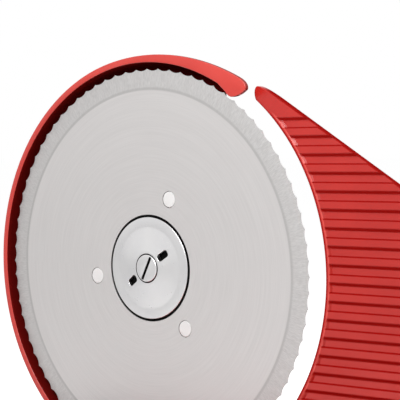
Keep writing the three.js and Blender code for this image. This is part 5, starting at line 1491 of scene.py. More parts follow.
@dataclass
class Housing:
    """The cast guard and pan with the gear pocket, the bosses and the pedestal."""

    front: float = GUARD_FRONT
    lip_back: float = -0.7
    inner: float = 97.9
    outer: float = GUARD_OUTER
    wall: float = CASTING_WALL
    floor_front: float = PAN_FRONT
    bend: float = GUARD_BEND
    flange: float = 12.0
    start: float = 62.0
    end: float = 285.0
    steps: int = 150
    swell_from: float = 104.0
    swell_to: float = 57.0
    swell: float = 5.2
    swell_power: float = 2.1
    lip_edge: float = 0.45
    heel: Point = polar(96.7, 58.5)
    heel_handle: Point = (52.2, 80.1)
    toe: Point = (54.0, 80.05)
    chin: Point = (58.4, 80.0)
    nose: Point = polar(103.9, 53.1)
    shoulder: Point = polar(107.0, 53.5)
    taper: Point = (38.0, 51.0)
    taper_low: float = 60.0
    waist: float = 34.0
    crank_x: float = CRANK_X
    crank_z: float = CRANK_Z
    gear_pocket: float = 39.0
    hub_pocket: float = 22.0
    pocket_back: float = 26.5
    pocket_edge: float = 6.0
    boss: float = 14.0
    boss_edge: float = 1.0
    boss_fillet: float = 4.0
    axle_boss: float = 45.7
    crank_boss: float = 49.5
    pedestal_x: Point = (-74.0, 36.0)
    pedestal_lean: Point = (10.0, 22.0)
    pedestal_low: float = FOOT_LEVEL
    pedestal_top: float = -38.0
    pedestal_corner: float = 6.0
    rib_half: float = 1.5
    foot_reach: float = 8.0
    foot_behind: float = 4.0
    bush_bore: float = 9.1
    cap_bore: float = 11.0
    cap_depth: float = 4.2
    pedestal_back: float = 27.9
    foot_top: float = -103.7

    @property
    def floor_back(self) -> float:
        """The back of the pan's floor."""
        return self.floor_front + self.wall

    @property
    def back(self) -> float:
        """The back of the gear pocket."""
        return self.pocket_back + self.wall

    def build(self, shop: Shop) -> None:
        """Makes the casting and delivers it."""
        guard = Bench.cut(self.guard_wall(), self.wedge())
        body = Bench.joined(guard, self.lip())
        Bench.joined(body, Bench.cut(self.floor(), self.wedge()))
        Bench.joined(body, self.pocket(), self.bearing(0, 0, self.axle_boss))
        Bench.joined(body, self.bearing(self.crank_x, self.crank_z, self.crank_boss))
        Bench.joined(body, *self.pedestal())
        Bench.cut(body, *self.hollows())
        enamel = shop.finishes.guard
        shop.deliver(body, "guard_casting", Slot.RED, Body.FRAME, "housing", finish=enamel)
        shop.deliver(self.cap(), "axle_boss_cap", Slot.BLACK, Body.FRAME, "axle_cap")

    def guard_wall(self) -> Solid:
        """Spins the guard's wall and its bend into the pan about the blade's axis.

        Returns:
            The wall.
        """
        bend_radius = self.outer - self.bend
        bend_depth = self.floor_back - self.bend
        flange_end = bend_radius - self.flange
        section = [
            (self.inner, self.lip_back), (self.outer, self.lip_back),
            *arc(bend_radius, bend_depth, self.bend, 0, 90, 12),
            (flange_end, self.floor_back), (flange_end, self.floor_front),
            *arc(bend_radius, bend_depth, self.bend - self.wall, 90, 0, 10),
        ]
        cos, sin = math.cos(math.radians(self.end)), math.sin(math.radians(self.end))
        obj = Bench.chain([place(r * cos, y, r * sin) for r, y in section], closed=True)
        sweep = math.radians(self.end - self.start)

        def turn() -> None:
            """Fills the section and spins it."""
            about = Axis.ACROSS.value
            bpy.ops.mesh.edge_face_add()
            bpy.ops.mesh.spin(steps=self.steps, angle=-sweep, center=tuple(ORIGIN), axis=about)
            bpy.ops.mesh.select_all(action="SELECT")
            bpy.ops.mesh.remove_doubles(threshold=MERGE)
            Bench.outward()

        return Bench.settle(Bench.edit(obj, turn))

    def lip(self) -> Solid:
        """The guard's front face, which swells into the finger at its upper end.

        Returns:
            The lip.
        """
        step = (self.end - self.start) / self.steps
        inner = [polar(self.inner, self.end - step * i) for i in range(self.steps + 1)]
        swollen = polar(self.outer + self.swell, self.swell_to)
        tip = [self.heel, *curved(self.heel, [self.heel_handle], self.toe, 5)]
        tip += [*curved(self.toe, [self.chin], self.nose, 8), *curved(self.nose, [self.shoulder], swollen, 8)]
        angles = [self.end - step * i for i in range(self.steps + 4)]
        rim = [polar(self._reach(a), a) for a in reversed(angles) if a > self.swell_to + 0.5]
        lip = Bench.slab(inner + tip + rim, self.front, self.lip_back)
        return Bench.rim_eased(lip, self.lip_edge, 4, Axis.ACROSS, self.front)

    def _reach(self, angle: float) -> float:
        """The lip's outer radius at an angle."""
        share = max(0.0, (self.swell_from - angle) / (self.swell_from - self.swell_to))
        return self.outer + self.swell * share ** self.swell_power

    def wedge(self) -> Solid:
        """The space that thins the wall from behind, towards the finger.

        Returns:
            The cutter.
        """
        back_x, front_x = self.taper
        back = self.floor_back + OVERRUN
        outline = [(back_x, back), (front_x, self.lip_back), (self.outer, self.lip_back), (self.outer, back)]
        return Bench.raised(outline, self.taper_low, self.outer + self.swell)

    def floor(self) -> Solid:
        """The pan's floor, which stops short where the slices fall.

        Returns:
            The floor.
        """
        reach = self.outer - self.bend
        points = arc(0, 0, reach, self.start, self.end, 96)
        points += curved(points[-1], [(self.waist, 0.0)], points[0], 40)[:-1]
        return Bench.slab(points, self.floor_front, self.floor_back)

    def pocket(self) -> Solid:
        """The gear pocket's outside with its rounded back.

        Returns:
            The pocket's solid.
        """
        pocket = Bench.slab(self._pocket_outline(self.wall), self.floor_front, self.back)
        return Bench.rim_eased(pocket, self.pocket_edge, 6, Axis.ACROSS, self.back)

    def _pocket_outline(self, wall: float) -> list[Point]:
        """The outline of the gear pocket, with a wall round it or none."""
        gear, hub = self.gear_pocket + wall, self.hub_pocket + wall
        return band(self.crank_x, self.crank_z, gear, 0, 0, hub, 48)

    def bearing(self, x: float, z: float, end: float) -> Solid:
        """A bearing boss with a fillet at its foot.

        Args:
            x: Where its axis stands.
            z: How high its axis stands.
            end: The depth of its end.

        Returns:
            The boss.
        """
        foot = self.back - self.wall / 2
        reach = self.boss + self.boss_fillet
        fillet = arc(reach, self.back + self.boss_fillet, self.boss_fillet, 270, 180, 8)
        edge = arc(self.boss - self.boss_edge, end - self.boss_edge, self.boss_edge, 0, 90, 4)
        return Bench.spun([(0, foot), (reach, foot), *fillet, *edge, (0, end)], (x, z), Axis.ACROSS, 72)

    def _trapezoid(self, low: float, inset: float) -> list[Point]:
        """The pedestal's outline.

        Args:
            low: The height of its lower edge.
            inset: How far its other edges lie inside the pedestal's own.

        Returns:
            The outline's points.
        """
        left, right = self.pedestal_x
        left_lean, right_lean = self.pedestal_lean
        return rounded([
            (left + inset, low, 0),
            (right - inset, low, 0),
            (right - right_lean - inset, self.pedestal_top - inset, self.pedestal_corner),
            (left + left_lean + inset, self.pedestal_top - inset, self.pedestal_corner),
        ])

    def pedestal(self) -> list[Solid]:
        """The pedestal's shell, its two ribs and its foot flange.

        Returns:
            The four solids.
        """
        left, right = self.pedestal_x
        outline = self._trapezoid(self.pedestal_low + OVERRUN, 0)
        shell = Bench.slab(outline, self.floor_front, self.pedestal_back)
        Bench.eased(shell, 1.0, 3)
        hollow = self._trapezoid(self.foot_top, self.wall)
        Bench.cut(shell, Bench.slab(hollow, self.floor_back, self.pedestal_back + OVERRUN))
        ribs = []
        for share in (1 / 3, 2 / 3):
            x = left + (right - left) * share
            low, top = self.foot_top - OVERRUN, self.pedestal_top - self.wall / 2
            outline = rounded_box(x - self.rib_half, low, x + self.rib_half, top, 0)
            rib = Bench.slab(outline, self.floor_back - OVERRUN, self.pedestal_back - self.wall)
            ribs.append(Bench.eased(rib, 0.6, 2))
        reach = self.foot_reach
        near, far = self.floor_front - reach, self.pedestal_back + self.foot_behind
        outline = rounded_box(left - reach, near, right + reach, far, 8)
        flange = Bench.raised(outline, self.pedestal_low, self.foot_top)
        return [shell, *ribs, Bench.rim_eased(flange, 1.6, 4, Axis.UPRIGHT, self.foot_top)]

    def hollows(self) -> list[Solid]:
        """The gear pocket's inside and the bores for the bushes and the cap.

        Returns:
            The four cutters.
        """
        start = self.pocket_back - OVERRUN
        axle_end, crank_end = self.axle_boss + OVERRUN, self.crank_boss + OVERRUN
        return [
            Bench.slab(self._pocket_outline(0), self.floor_front - OVERRUN, self.pocket_back),
            Bench.pin(self.bush_bore, start, axle_end),
            Bench.pin(self.cap_bore, self.axle_boss - self.cap_depth, axle_end),
            Bench.pin(self.bush_bore, start, crank_end, self.crank_x, self.crank_z),
        ]

    def cap(self) -> Solid:
        """The plastic cap in the axle's boss.

        Returns:
            The cap.
        """
        seat, plug, collar, brim = self.axle_boss, self.bush_bore, self.cap_bore - SEAT_GAP, self.boss
        profile = [
            (0, seat - 0.7), (plug, seat - 0.7), (plug, seat - 1.6), (collar, seat - 1.6),
            (collar, seat + SEAT_GAP), (brim, seat + SEAT_GAP), *dome(brim, seat + 0.5, 2.2, 9),
            (0, seat + 2.7),
        ]
        return Bench.spun(profile, (0, 0), Axis.ACROSS, 72)


# The guide plate


@dataclass
class GuidePlate:
    """The grooved stop that sets the slice, with the walls and bosses on its back."""

    face: float = PLATE_FACE
    back: float = 8.7
    hollow: float = PLATE_HOLLOW
    slope: float = PLATE_SLOPE
    slope_at_axis: float = PLATE_SLOPE_AT_AXIS
    right: float = 224.0
    bottom: float = -75.5
    corner: float = 12.0
    tip_level: float = 78.5
    tip_width: float = 12.2
    tip_crown: Point = (1.2, -1.6)
    slope_handles: tuple[Point, Point] = ((5.9, -2.3), (3.0, -0.7))
    crown_handle: Point = (-2.0, 0.1)
    edge_handle: Point = (-1.6, 3.0)
    pitch: float = GROOVE_PITCH
    groove: float = GROOVE_HEIGHT
    groove_depth: float = 1.15
    groove_lip: float = 0.5
    groove_proud: float = 0.02
    ramp_proud: float = 0.05
    top_run: float = 1.7
    bottom_run: float = 0.15
    first_top: float = FIRST_GROOVE_TOP
    rim: float = 1.5
    rim_run: float = 1.3
    centre: Point = ADJUSTER_CENTRE
    spread: float = ROD_SPREAD
    root: float = 1.6
    wall_height: float = 6.0
    wall_insets: Point = (9.0, 11.2)
    web_half: float = 1.1
    rod_radius: float = 4.0
    rod_bore: Point = (4.3, 17.0)
    nut_bore: Point = (6.5, 28.0)
    rod_boss_end: float = 15.7
    nut_boss_end: float = 27.0
    boss: float = 8.0
    boss_fillet: float = 1.5
    boss_edge: float = 0.6

    def build(self, shop: Shop) -> None:
        """Makes the plate with all its walls and delivers it with its rods."""
        plate = Bench.slab(self.outline(0), self.face, self.back)
        Bench.eased(plate, 0.4, 3)
        Bench.cut(plate, self.grooves())
        Bench.joined(plate, *self.walls())
        x, z = self.centre
        bore, bore_end = self.rod_bore
        nut_bore, nut_end = self.nut_bore
        seats = [Bench.pin(bore, self.back, bore_end, x + side * self.spread, z) for side in (-1, 1)]
        Bench.cut(plate, *seats, Bench.pin(nut_bore, self.back, nut_end, x, z))
        enamel = shop.finishes.plate
        shop.deliver(plate, "grooved_plate", Slot.RED, Body.PLATE, "guide_plate", sharp=9.0, finish=enamel)
        for side, name in ((-1, "left"), (1, "right")):
            rod = self.rod(x + side * self.spread, z)
            shop.deliver(rod, f"guide_bar_{name}", Slot.STEEL, Body.PLATE, f"guide_rod_{name}")

    def rod(self, x: float, z: float) -> Solid:
        """A rod that the plate slides on, with a rounded end."""
        edge = arc(self.rod_radius - 0.6, 45.1, 0.6, 0, 90, 3)
        return Bench.spun([(0, 9.0), (self.rod_radius, 9.0), *edge, (0, 45.7)], (x, z), Axis.ACROSS, 40)

    def _slope_top(self, x: float, inset: float) -> float:
        """The height of the sloping edge, inset at right angles to it."""
        return self.slope_at_axis - self.slope * x - inset * math.hypot(1, self.slope)

    def outline(self, inset: float, steps: int = 110) -> list[Point]:
        """The plate's outline: hollow edge, foot, slope and rounded tip.

        Args:
            inset: How far the outline lies inside the plate's own.
            steps: The count of edges along the hollow edge.

        Returns:
            The outline's points.
        """
        bottom, right = self.bottom + inset, self.right - inset
        reach = self.hollow + inset
        top_angle, low_angle = (
            math.degrees(math.asin(level / reach)) for level in (self.tip_level - 3 * inset, bottom)
        )
        edge = arc(0, 0, reach, top_angle, low_angle, steps)
        slope_point = lambda x: (x, self._slope_top(x, inset))
        tip_end = slope_point(edge[0][0] + self.tip_width)
        crown_x = edge[0][0] + self.tip_crown[0]
        crown = (crown_x, self._slope_top(crown_x, inset) + self.tip_crown[1])
        down = [moved(crown, handle) for handle in self.slope_handles]
        over = [moved(crown, self.crown_handle), moved(edge[0], self.edge_handle)]
        foot = (right - self.corner, bottom)
        shoulder = (right, self._slope_top(right, inset) - self.corner)
        return [
            *edge, foot,
            *curved(foot, [(right, bottom)], (right, bottom + self.corner), 14), shoulder,
            *curved(shoulder, [slope_point(right)], slope_point(right - self.corner), 14), tip_end,
            *curved(tip_end, down, crown, 8)[:-1],
            *curved(crown, over, edge[0], 14)[:-1],
        ]

    def grooves(self) -> Solid:
        """The grooves' space: bars with soft lips, ended by a rim round the blade.

        The space starts a little before the plate's face, and its ramp a little more, so that
        no two faces lie almost on each other where one solid is cut from another.

        Returns:
            The cutter.
        """
        open_front, front = self.face - OVERRUN, self.face - self.groove_proud
        floor, lip = self.face + self.groove_depth, self.groove_lip
        bars, top = [], self.first_top
        while top - self.groove > self.bottom:
            low = top - self.groove
            section = rounded([
                (open_front, low - lip, 0),
                (front, low - lip, 0),
                (front, low, 0.2),
                (floor, low + self.bottom_run, 0.15),
                (floor, top - self.top_run, 0.9),
                (front, top, 0.9),
                (front, top + lip, 0),
                (open_front, top + lip, 0),
            ], 5)
            bars.append(Bench.sideways(section, self.hollow / 2, self.right + OVERRUN))
            top -= self.pitch
        bend, near = self.face - self.ramp_proud, self.hollow + self.rim
        far = near + self.rim_run
        ramp = [
            (0, bend - 3), (near, bend - 3), (near, bend), (far, floor - self.ramp_proud),
            (far, floor + OVERRUN), (0, floor + OVERRUN),
        ]
        return Bench.cut(Bench.together(*bars), Bench.spun(ramp, (0, 0), Axis.ACROSS, 256))

    def walls(self) -> list[Solid]:
        """The frame inside the plate's edges, the web and the three bosses.

        Returns:
            The five solids.
        """
        front, back = self.back - self.root, self.back + self.wall_height
        outer, inner = (self.outline(inset, 64) for inset in self.wall_insets)
        frame_wall = Bench.slab(outer, front, back)
        Bench.cut(frame_wall, Bench.slab(inner, front - OVERRUN, back + OVERRUN))
        Bench.eased(frame_wall, 0.5, 2)
        x, z = self.centre
        web_outline = rounded_box(x - self.spread, z - self.web_half, x + self.spread, z + self.web_half, 0)
        web = Bench.eased(Bench.slab(web_outline, front, back), 0.5, 2)
        bosses = [self._boss(x + side * self.spread, z, self.rod_boss_end) for side in (-1, 1)]
        return [frame_wall, web, *bosses, self._boss(x, z, self.nut_boss_end)]

    def _boss(self, x: float, z: float, end: float) -> Solid:
        """A boss with a small fillet at its foot.

        Args:
            x: Where its axis stands.
            z: How high its axis stands.
            end: The depth of its end.

        Returns:
            The boss.
        """
        foot, reach = self.back - self.root, self.boss + self.boss_fillet
        fillet = arc(reach, self.back + self.boss_fillet, self.boss_fillet, 270, 180, 4)
        edge = arc(self.boss - self.boss_edge, end - self.boss_edge, self.boss_edge, 0, 90, 3)
        return Bench.spun([(0, foot), (reach, foot), *fillet, *edge, (0, end)], (x, z), Axis.ACROSS, 56)


# The slice adjuster


@dataclass
class Adjuster:
    """The block on the base, the spindle and the thickness knob."""

    centre: Point = ADJUSTER_CENTRE
    spread: float = ROD_SPREAD
    margin: float = 11.0
    front: float = 25.7
    back: float = 47.7
    low: float = FOOT_LEVEL
    foot_back: float = 42.0
    foot: float = 8.0
    rod_bore: float = 4.1
    nut_pocket: Point = (9.5, 39.0)
    knob_front: float = 48.0
    knob_back: float = 72.0
    skirt: float = 23.0
    grip: float = 17.0
    flutes: int = 10
    flute: float = 3.4
    ticks: int = 16

    def build(self, shop: Shop) -> None:
        """Makes and delivers the block, the spindle and the knob."""
        shop.deliver(self.block(), "slide_block", Slot.RED, Body.FRAME, "adjuster_block")
        shop.deliver(self.spindle(), "threaded_spindle", Slot.STEEL, Body.KNOB, "knob_spindle")
        shop.deliver(self.knob(), "slice_knob", Slot.BLACK, Body.KNOB, "thickness_knob")
        shop.deliver(self.scale(), "knob_scale", Slot.NYLON, Body.KNOB)

    def block(self) -> Solid:
        """The block with its foot, its bores and the nut's pocket.

        Returns:
            The block.
        """
        x, z = self.centre
        reach = self.spread + self.margin
        top = z + self.margin
        corners = [
            (x - reach, self.low, 0), (x + reach, self.low, 0), (x + reach, top, 8), (x - reach, top, 8)
        ]
        body = Bench.eased(Bench.slab(rounded(corners), self.front, self.back), 1.2, 3)
        wide = reach + self.foot
        foot_box = rounded_box(x - wide, self.low, x + wide, self.low + self.foot, 2)
        foot = Bench.eased(Bench.slab(foot_box, self.front, self.foot_back), 0.8, 3)
        Bench.joined(body, foot)
        front, back = self.front - OVERRUN, self.back + OVERRUN
        bores = [Bench.pin(self.rod_bore, front, back, x + side * self.spread, z) for side in (-1, 0, 1)]
        pocket, floor = self.nut_pocket
        return Bench.cut(body, *bores, Bench.pin(pocket, front, floor, x, z))

    def spindle(self) -> Solid:
        """The spindle: a rolled thread, its collar and its tail in the knob.

        Returns:
            The spindle.
        """
        pitch, thread = 0.7, []
        start = y = 19.0
        while y < 35.5:
            thread += [(3.5, y), (4.0, y + pitch / 2)]
            y += pitch
        collar = [(4, 37.0), (7.5, 37.0), (7.5, 38.7), (4, 38.7)]
        profile = [(0, start), *thread, (4, 36.5), *collar, (4, 62), (0, 62)]
        return Bench.spun(profile, self.centre, Axis.ACROSS, 40)

    def knob(self) -> Solid:
        """The knob: a skirt, a fluted grip and a soft rim.

        Returns:
            The knob.
        """
        x, z = self.centre
        skirt, grip, front, back = self.skirt, self.grip, self.knob_front, self.knob_back
        skirt_back = front + 4
        profile = [
            (0, front), (skirt, front), *arc(skirt - 1.2, skirt_back - 1, 1, 0, 90, 5),
            (grip + 1.2, skirt_back), (grip + 0.35, skirt_back + 0.35), (grip, skirt_back + 1.2),
            (grip - 1, back - 3), *arc(grip - 3.2, back - 2.2, 2.2, 0, 90, 6),
            (grip - 7, back), (grip - 8, back - 0.7), (0, back - 0.7),
        ]
        knob = Bench.spun(profile, self.centre, Axis.ACROSS, 120)
        for i in range(self.flutes):
            spot = polar(grip + self.flute / 2, 360 * (i + 0.5) / self.flutes, x, z)
            Bench.cut(knob, Bench.pin(self.flute, skirt_back + 2, back + OVERRUN, *spot, 24))
        Bench.cut(knob, Bench.pin(4.3, front - OVERRUN, 62.3, x, z))
        return Bench.eased(knob, 0.35, 2, 55.0)

    def scale(self) -> Solid:
        """The graduation lines on the knob's skirt.

        Returns:
            The lines, in one object.
        """
        marks = []
        for i in range(self.ticks):
            angle = 300 * i / (self.ticks - 1) - 60
            start = self.skirt - (4.2 if i % 5 == 0 else 3.2)
            outline = turned(rounded_box(start, -0.3, self.skirt - 1.6, 0.3, 0.2, 3), angle, *self.centre)
            marks.append(Bench.slab(outline, self.knob_front + 3.7, self.knob_front + 4.08))
        return Bench.together(*marks)


# The base


@dataclass
class Base:
    """The cast tray with its feet, the rail blocks and the rails."""

    left: float = -100.0
    right: float = 250.0
    near: float = -94.0
    far: float = 45.0
    top: float = -112.0
    low: float = -128.0
    ground: float = -140.0
    wall: float = 3.0
    corner: float = 22.0
    rib: float = 2.6
    foot_inset: float = 21.0
    rail_y: Point = RAIL_Y
    rail_z: float = RAIL_Z
    rail_x: Point = (-86.0, 236.0)
    rail_radius: float = 4.0
    rail_chamfer: float = 0.6
    rail_seat: Point = (4.3, 3.5)
    block_half: float = 7.0
    block_margin: float = 10.0

    def build(self, shop: Shop) -> None:
        """Makes and delivers the base and all that is fixed to it."""
        shop.deliver(self.tray(), "base_casting", Slot.RED, Body.FRAME, "base")
        for i, (x, y) in enumerate(self.feet(), 1):
            shop.deliver(self.foot(x, y), f"rubber_foot_{i}", Slot.RUBBER, Body.FRAME, f"suction_foot_{i}")
        for i, x in enumerate(self.rail_x, 1):
            shop.deliver(self.rail_block(x), f"rail_holder_{i}", Slot.BLACK, Body.FRAME, f"rail_block_{i}")
        for y, name in zip(self.rail_y, ("inner", "outer")):
            shop.deliver(self.rail(y), f"slide_rail_{name}", Slot.STEEL, Body.FRAME, f"rail_{name}")

    def _outline(self, inset: float) -> list[Point]:
        """The tray's outline, inset."""
        left, near, right, far = self.left + inset, self.near + inset, self.right - inset, self.far - inset
        return rounded_box(left, near, right, far, self.corner - inset, 14)

    def feet(self) -> list[Point]:
        """Where the feet stand.

        Returns:
            Each foot's x and y.
        """
        left, right = self.left + self.foot_inset, self.right - self.foot_inset
        near, far = self.near + self.foot_inset, self.far - self.foot_inset
        return [(left, near), (right, near), (right, far), (left, far)]

    def tray(self) -> Solid:
        """The tray: a rounded top, an open underside, ribs and foot bosses.

        Returns:
            The tray.
        """
        tray = Bench.raised(self._outline(0), self.low, self.top)
        Bench.rim_eased(tray, 3.0, 6, Axis.UPRIGHT, self.top)
        Bench.cut(tray, Bench.raised(self._outline(self.wall), self.low - OVERRUN, self.top - self.wall))
        rib_low, rib_top = self.low + self.wall, self.top - self.wall / 2
        middle, half = (self.near + self.far) / 2, self.rib / 2
        boxes = [(self.left + 1.5, middle - half, self.right - 1.5, middle + half)]
        for share in (1 / 3, 2 / 3):
            x = self.left + (self.right - self.left) * share
            boxes.append((x - half, self.near + 1.5, x + half, self.far - 1.5))
        ribs = [Bench.raised(rounded_box(*box, 0), rib_low, rib_top) for box in boxes]
        bosses = [Bench.post(9, self.low, rib_top, x, y) for x, y in self.feet()]
        return Bench.joined(tray, *ribs, *bosses)

    def foot(self, x: float, y: float) -> Solid:
        """A suction foot with a flared lip and a hollow below.

        Args:
            x: Where it stands along x.
            y: Where it stands along y.

        Returns:
            The foot.
        """
        ground = self.ground
        profile = [
            (2.5, ground + 5.9), (4.9, ground + 5.9), (4.9, ground + 3.4), (8.5, ground + 2.6),
            (14.6, ground), (16.6, ground), (17.0, ground + 0.4), (17.0, ground + 1.0), (16.2, ground + 1.9),
            (13.4, ground + 4.0), (11.4, ground + 5.9), (9.8, ground + 7.4), (9.0, ground + 8.6),
            (9.0, ground + 11.2), (8.5, ground + 11.7), (2.5, ground + 11.7),
        ]
        return Bench.spun(profile, (x, y), Axis.UPRIGHT, 64, wire_closed=True)

    def rail_block(self, x: float) -> Solid:
        """The block that holds both rails' ends.

        Args:
            x: Where it stands along x.

        Returns:
            The block.
        """
        half, bore_radius = self.block_half, self.rail_seat[0]
        near, far = self.rail_y[1] - self.block_margin, self.rail_y[0] + self.block_margin
        outline = rounded_box(near, self.top + SEAT_GAP, far, self.rail_z + half, 3)
        block = Bench.eased(Bench.sideways(outline, x - half, x + half), 1.0, 3)
        left, right = x - half - OVERRUN, x + half + OVERRUN
        bore = [(0, left), (bore_radius, left), (bore_radius, right), (0, right)]
        bores = [Bench.spun(bore, (y, self.rail_z), Axis.ALONG, 40) for y in self.rail_y]
        return Bench.cut(block, *bores)

    def rail(self, y: float) -> Solid:
        """A ground rail with chamfered ends.

        Args:
            y: Where its axis lies along y.

        Returns:
            The rail.
        """
        left, right = self.rail_x[0] - self.rail_seat[1], self.rail_x[1] + self.rail_seat[1]
        radius, cut = self.rail_radius, self.rail_chamfer
        profile = [
            (0, left), (radius - cut, left), (radius, left + cut),
            (radius, right - cut), (radius - cut, right), (0, right),
        ]
        return Bench.spun(profile, (y, self.rail_z), Axis.ALONG, 48)


# The crank


@dataclass
class Crank:
    """The crank's arm, nut and turning grip."""

    x: float = CRANK_X
    z: float = CRANK_Z
    throw: float = 95.0
    front: float = 50.7
    bar: float = 6.0
    hub: float = 11.0
    hub_radius: float = 13.0
    end_radius: float = 9.0
    square_half: float = 4.5
    pin_bore: float = 4.3
    pin_head: Point = (6.9, 2.4)
    nut_radius: float = 8.0
    nut_height: float = 5.0
    nut_dome: float = 6.0
    grip_front: float = 57.7
    grip_length: float = 78.0
    grip_bore: float = 4.1
    ends: Point = (9.5, 11.5)
    belly: float = 13.5
    cap_seat: Point = (8.6, 7.0)
    cap_plug: Point = (8.3, 4.0)
    cap_rise: float = 3.8

    def build(self, shop: Shop) -> None:
        """Makes and delivers the crank's pieces."""
        shop.deliver(self.arm(), "crank_bar", Slot.CHROME, Body.CRANK, "crank_arm")
        shop.deliver(self.nut(), "domed_nut", Slot.CHROME, Body.CRANK, "crank_nut")
        shop.deliver(self.grip(), "hand_grip", Slot.BLACK, Body.GRIP, "crank_grip")
        shop.deliver(self.cap(), "hand_grip_cap", Slot.BLACK, Body.GRIP, "grip_cap")

    @property
    def grip_z(self) -> float:
        """The height of the grip's axis."""
        return self.z - self.throw

    def arm(self) -> Solid:
        """The flat arm with its round hub.

        Returns:
            The arm.
        """
        outline = band(self.x, self.z, self.hub_radius, self.x, self.grip_z, self.end_radius, 32)
        arm = Bench.eased(Bench.slab(outline, self.front, self.front + self.bar), 1.0, 4)
        end = self.front + self.hub
        foot, edge = self.front + 1, arc(self.hub_radius - 1, end - 1, 1, 0, 90, 4)
        hub = [(0, foot), (self.hub_radius, foot), *edge, (0, end)]
        Bench.joined(arm, Bench.spun(hub, (self.x, self.z), Axis.ACROSS, 64))
        half = self.square_half
        square = rounded_box(self.x - half, self.z - half, self.x + half, self.z + half, 0.4, 3)
        start = self.front - OVERRUN
        head, head_depth = self.pin_head
        holes = [
            Bench.slab(square, start, end + OVERRUN),
            Bench.pin(self.pin_bore, start, self.front + self.bar + OVERRUN, self.x, self.grip_z),
            Bench.pin(head, start, self.front + head_depth, self.x, self.grip_z),
        ]
        return Bench.cut(arm, *holes)

    def nut(self) -> Solid:
        """A hexagon nut with a domed cap.

        Returns:
            The nut.
        """
        front = self.front + self.hub + SEAT_GAP
        shoulder, rise = front + self.nut_height, self.nut_height
        hexagon = arc(self.x, self.z, self.nut_radius, 0, 300, 5)
        nut = Bench.eased(Bench.slab(hexagon, front, shoulder), 0.4, 2)
        profile = [(0, shoulder - 1), *dome(self.nut_dome, shoulder, rise), (0, shoulder + rise)]
        Bench.joined(nut, Bench.spun(profile, (self.x, self.z), Axis.ACROSS, 48))
        bore = Bench.pin(self.square_half, front - OVERRUN, shoulder + SEAT_GAP, self.x, self.z)
        return Bench.cut(nut, bore)

    def grip(self) -> Solid:
        """The grip: a swelling handle with soft ends and a recess for its cap.

        Returns:
            The grip.
        """
        low, high = self.ends
        back = self.grip_front + self.grip_length
        side = []
        for i in range(25):
            share = i / 24
            swell = (self.belly - (low + high) / 2) * math.sin(math.pi * share)
            side.append((low + (high - low) * share + swell, self.grip_front + self.grip_length * share))
        side[0] = (side[0][0] - 1.0, side[0][1])
        side.insert(1, (low + 0.1, self.grip_front + 1.0))
        bore = self.grip_bore
        seat, floor = self.cap_seat[0], back - self.cap_seat[1]
        profile = [(bore, self.grip_front), *side, (seat, back), (seat, floor), (bore, floor)]
        return Bench.spun(profile, (self.x, self.grip_z), Axis.ACROSS, 72, wire_closed=True)

    def cap(self) -> Solid:
        """The domed cap in the grip's end.

        Returns:
            The cap.
        """
        seat = self.grip_front + self.grip_length
        plug, depth = self.cap_plug
        brim = seat + SEAT_GAP
        crown = dome(self.ends[1], brim, self.cap_rise)
        profile = [(0, seat - depth), (plug, seat - depth), (plug, brim), *crown, (0, brim + self.cap_rise)]
        return Bench.spun(profile, (self.x, self.grip_z), Axis.ACROSS, 72)


# The carriage and the pusher


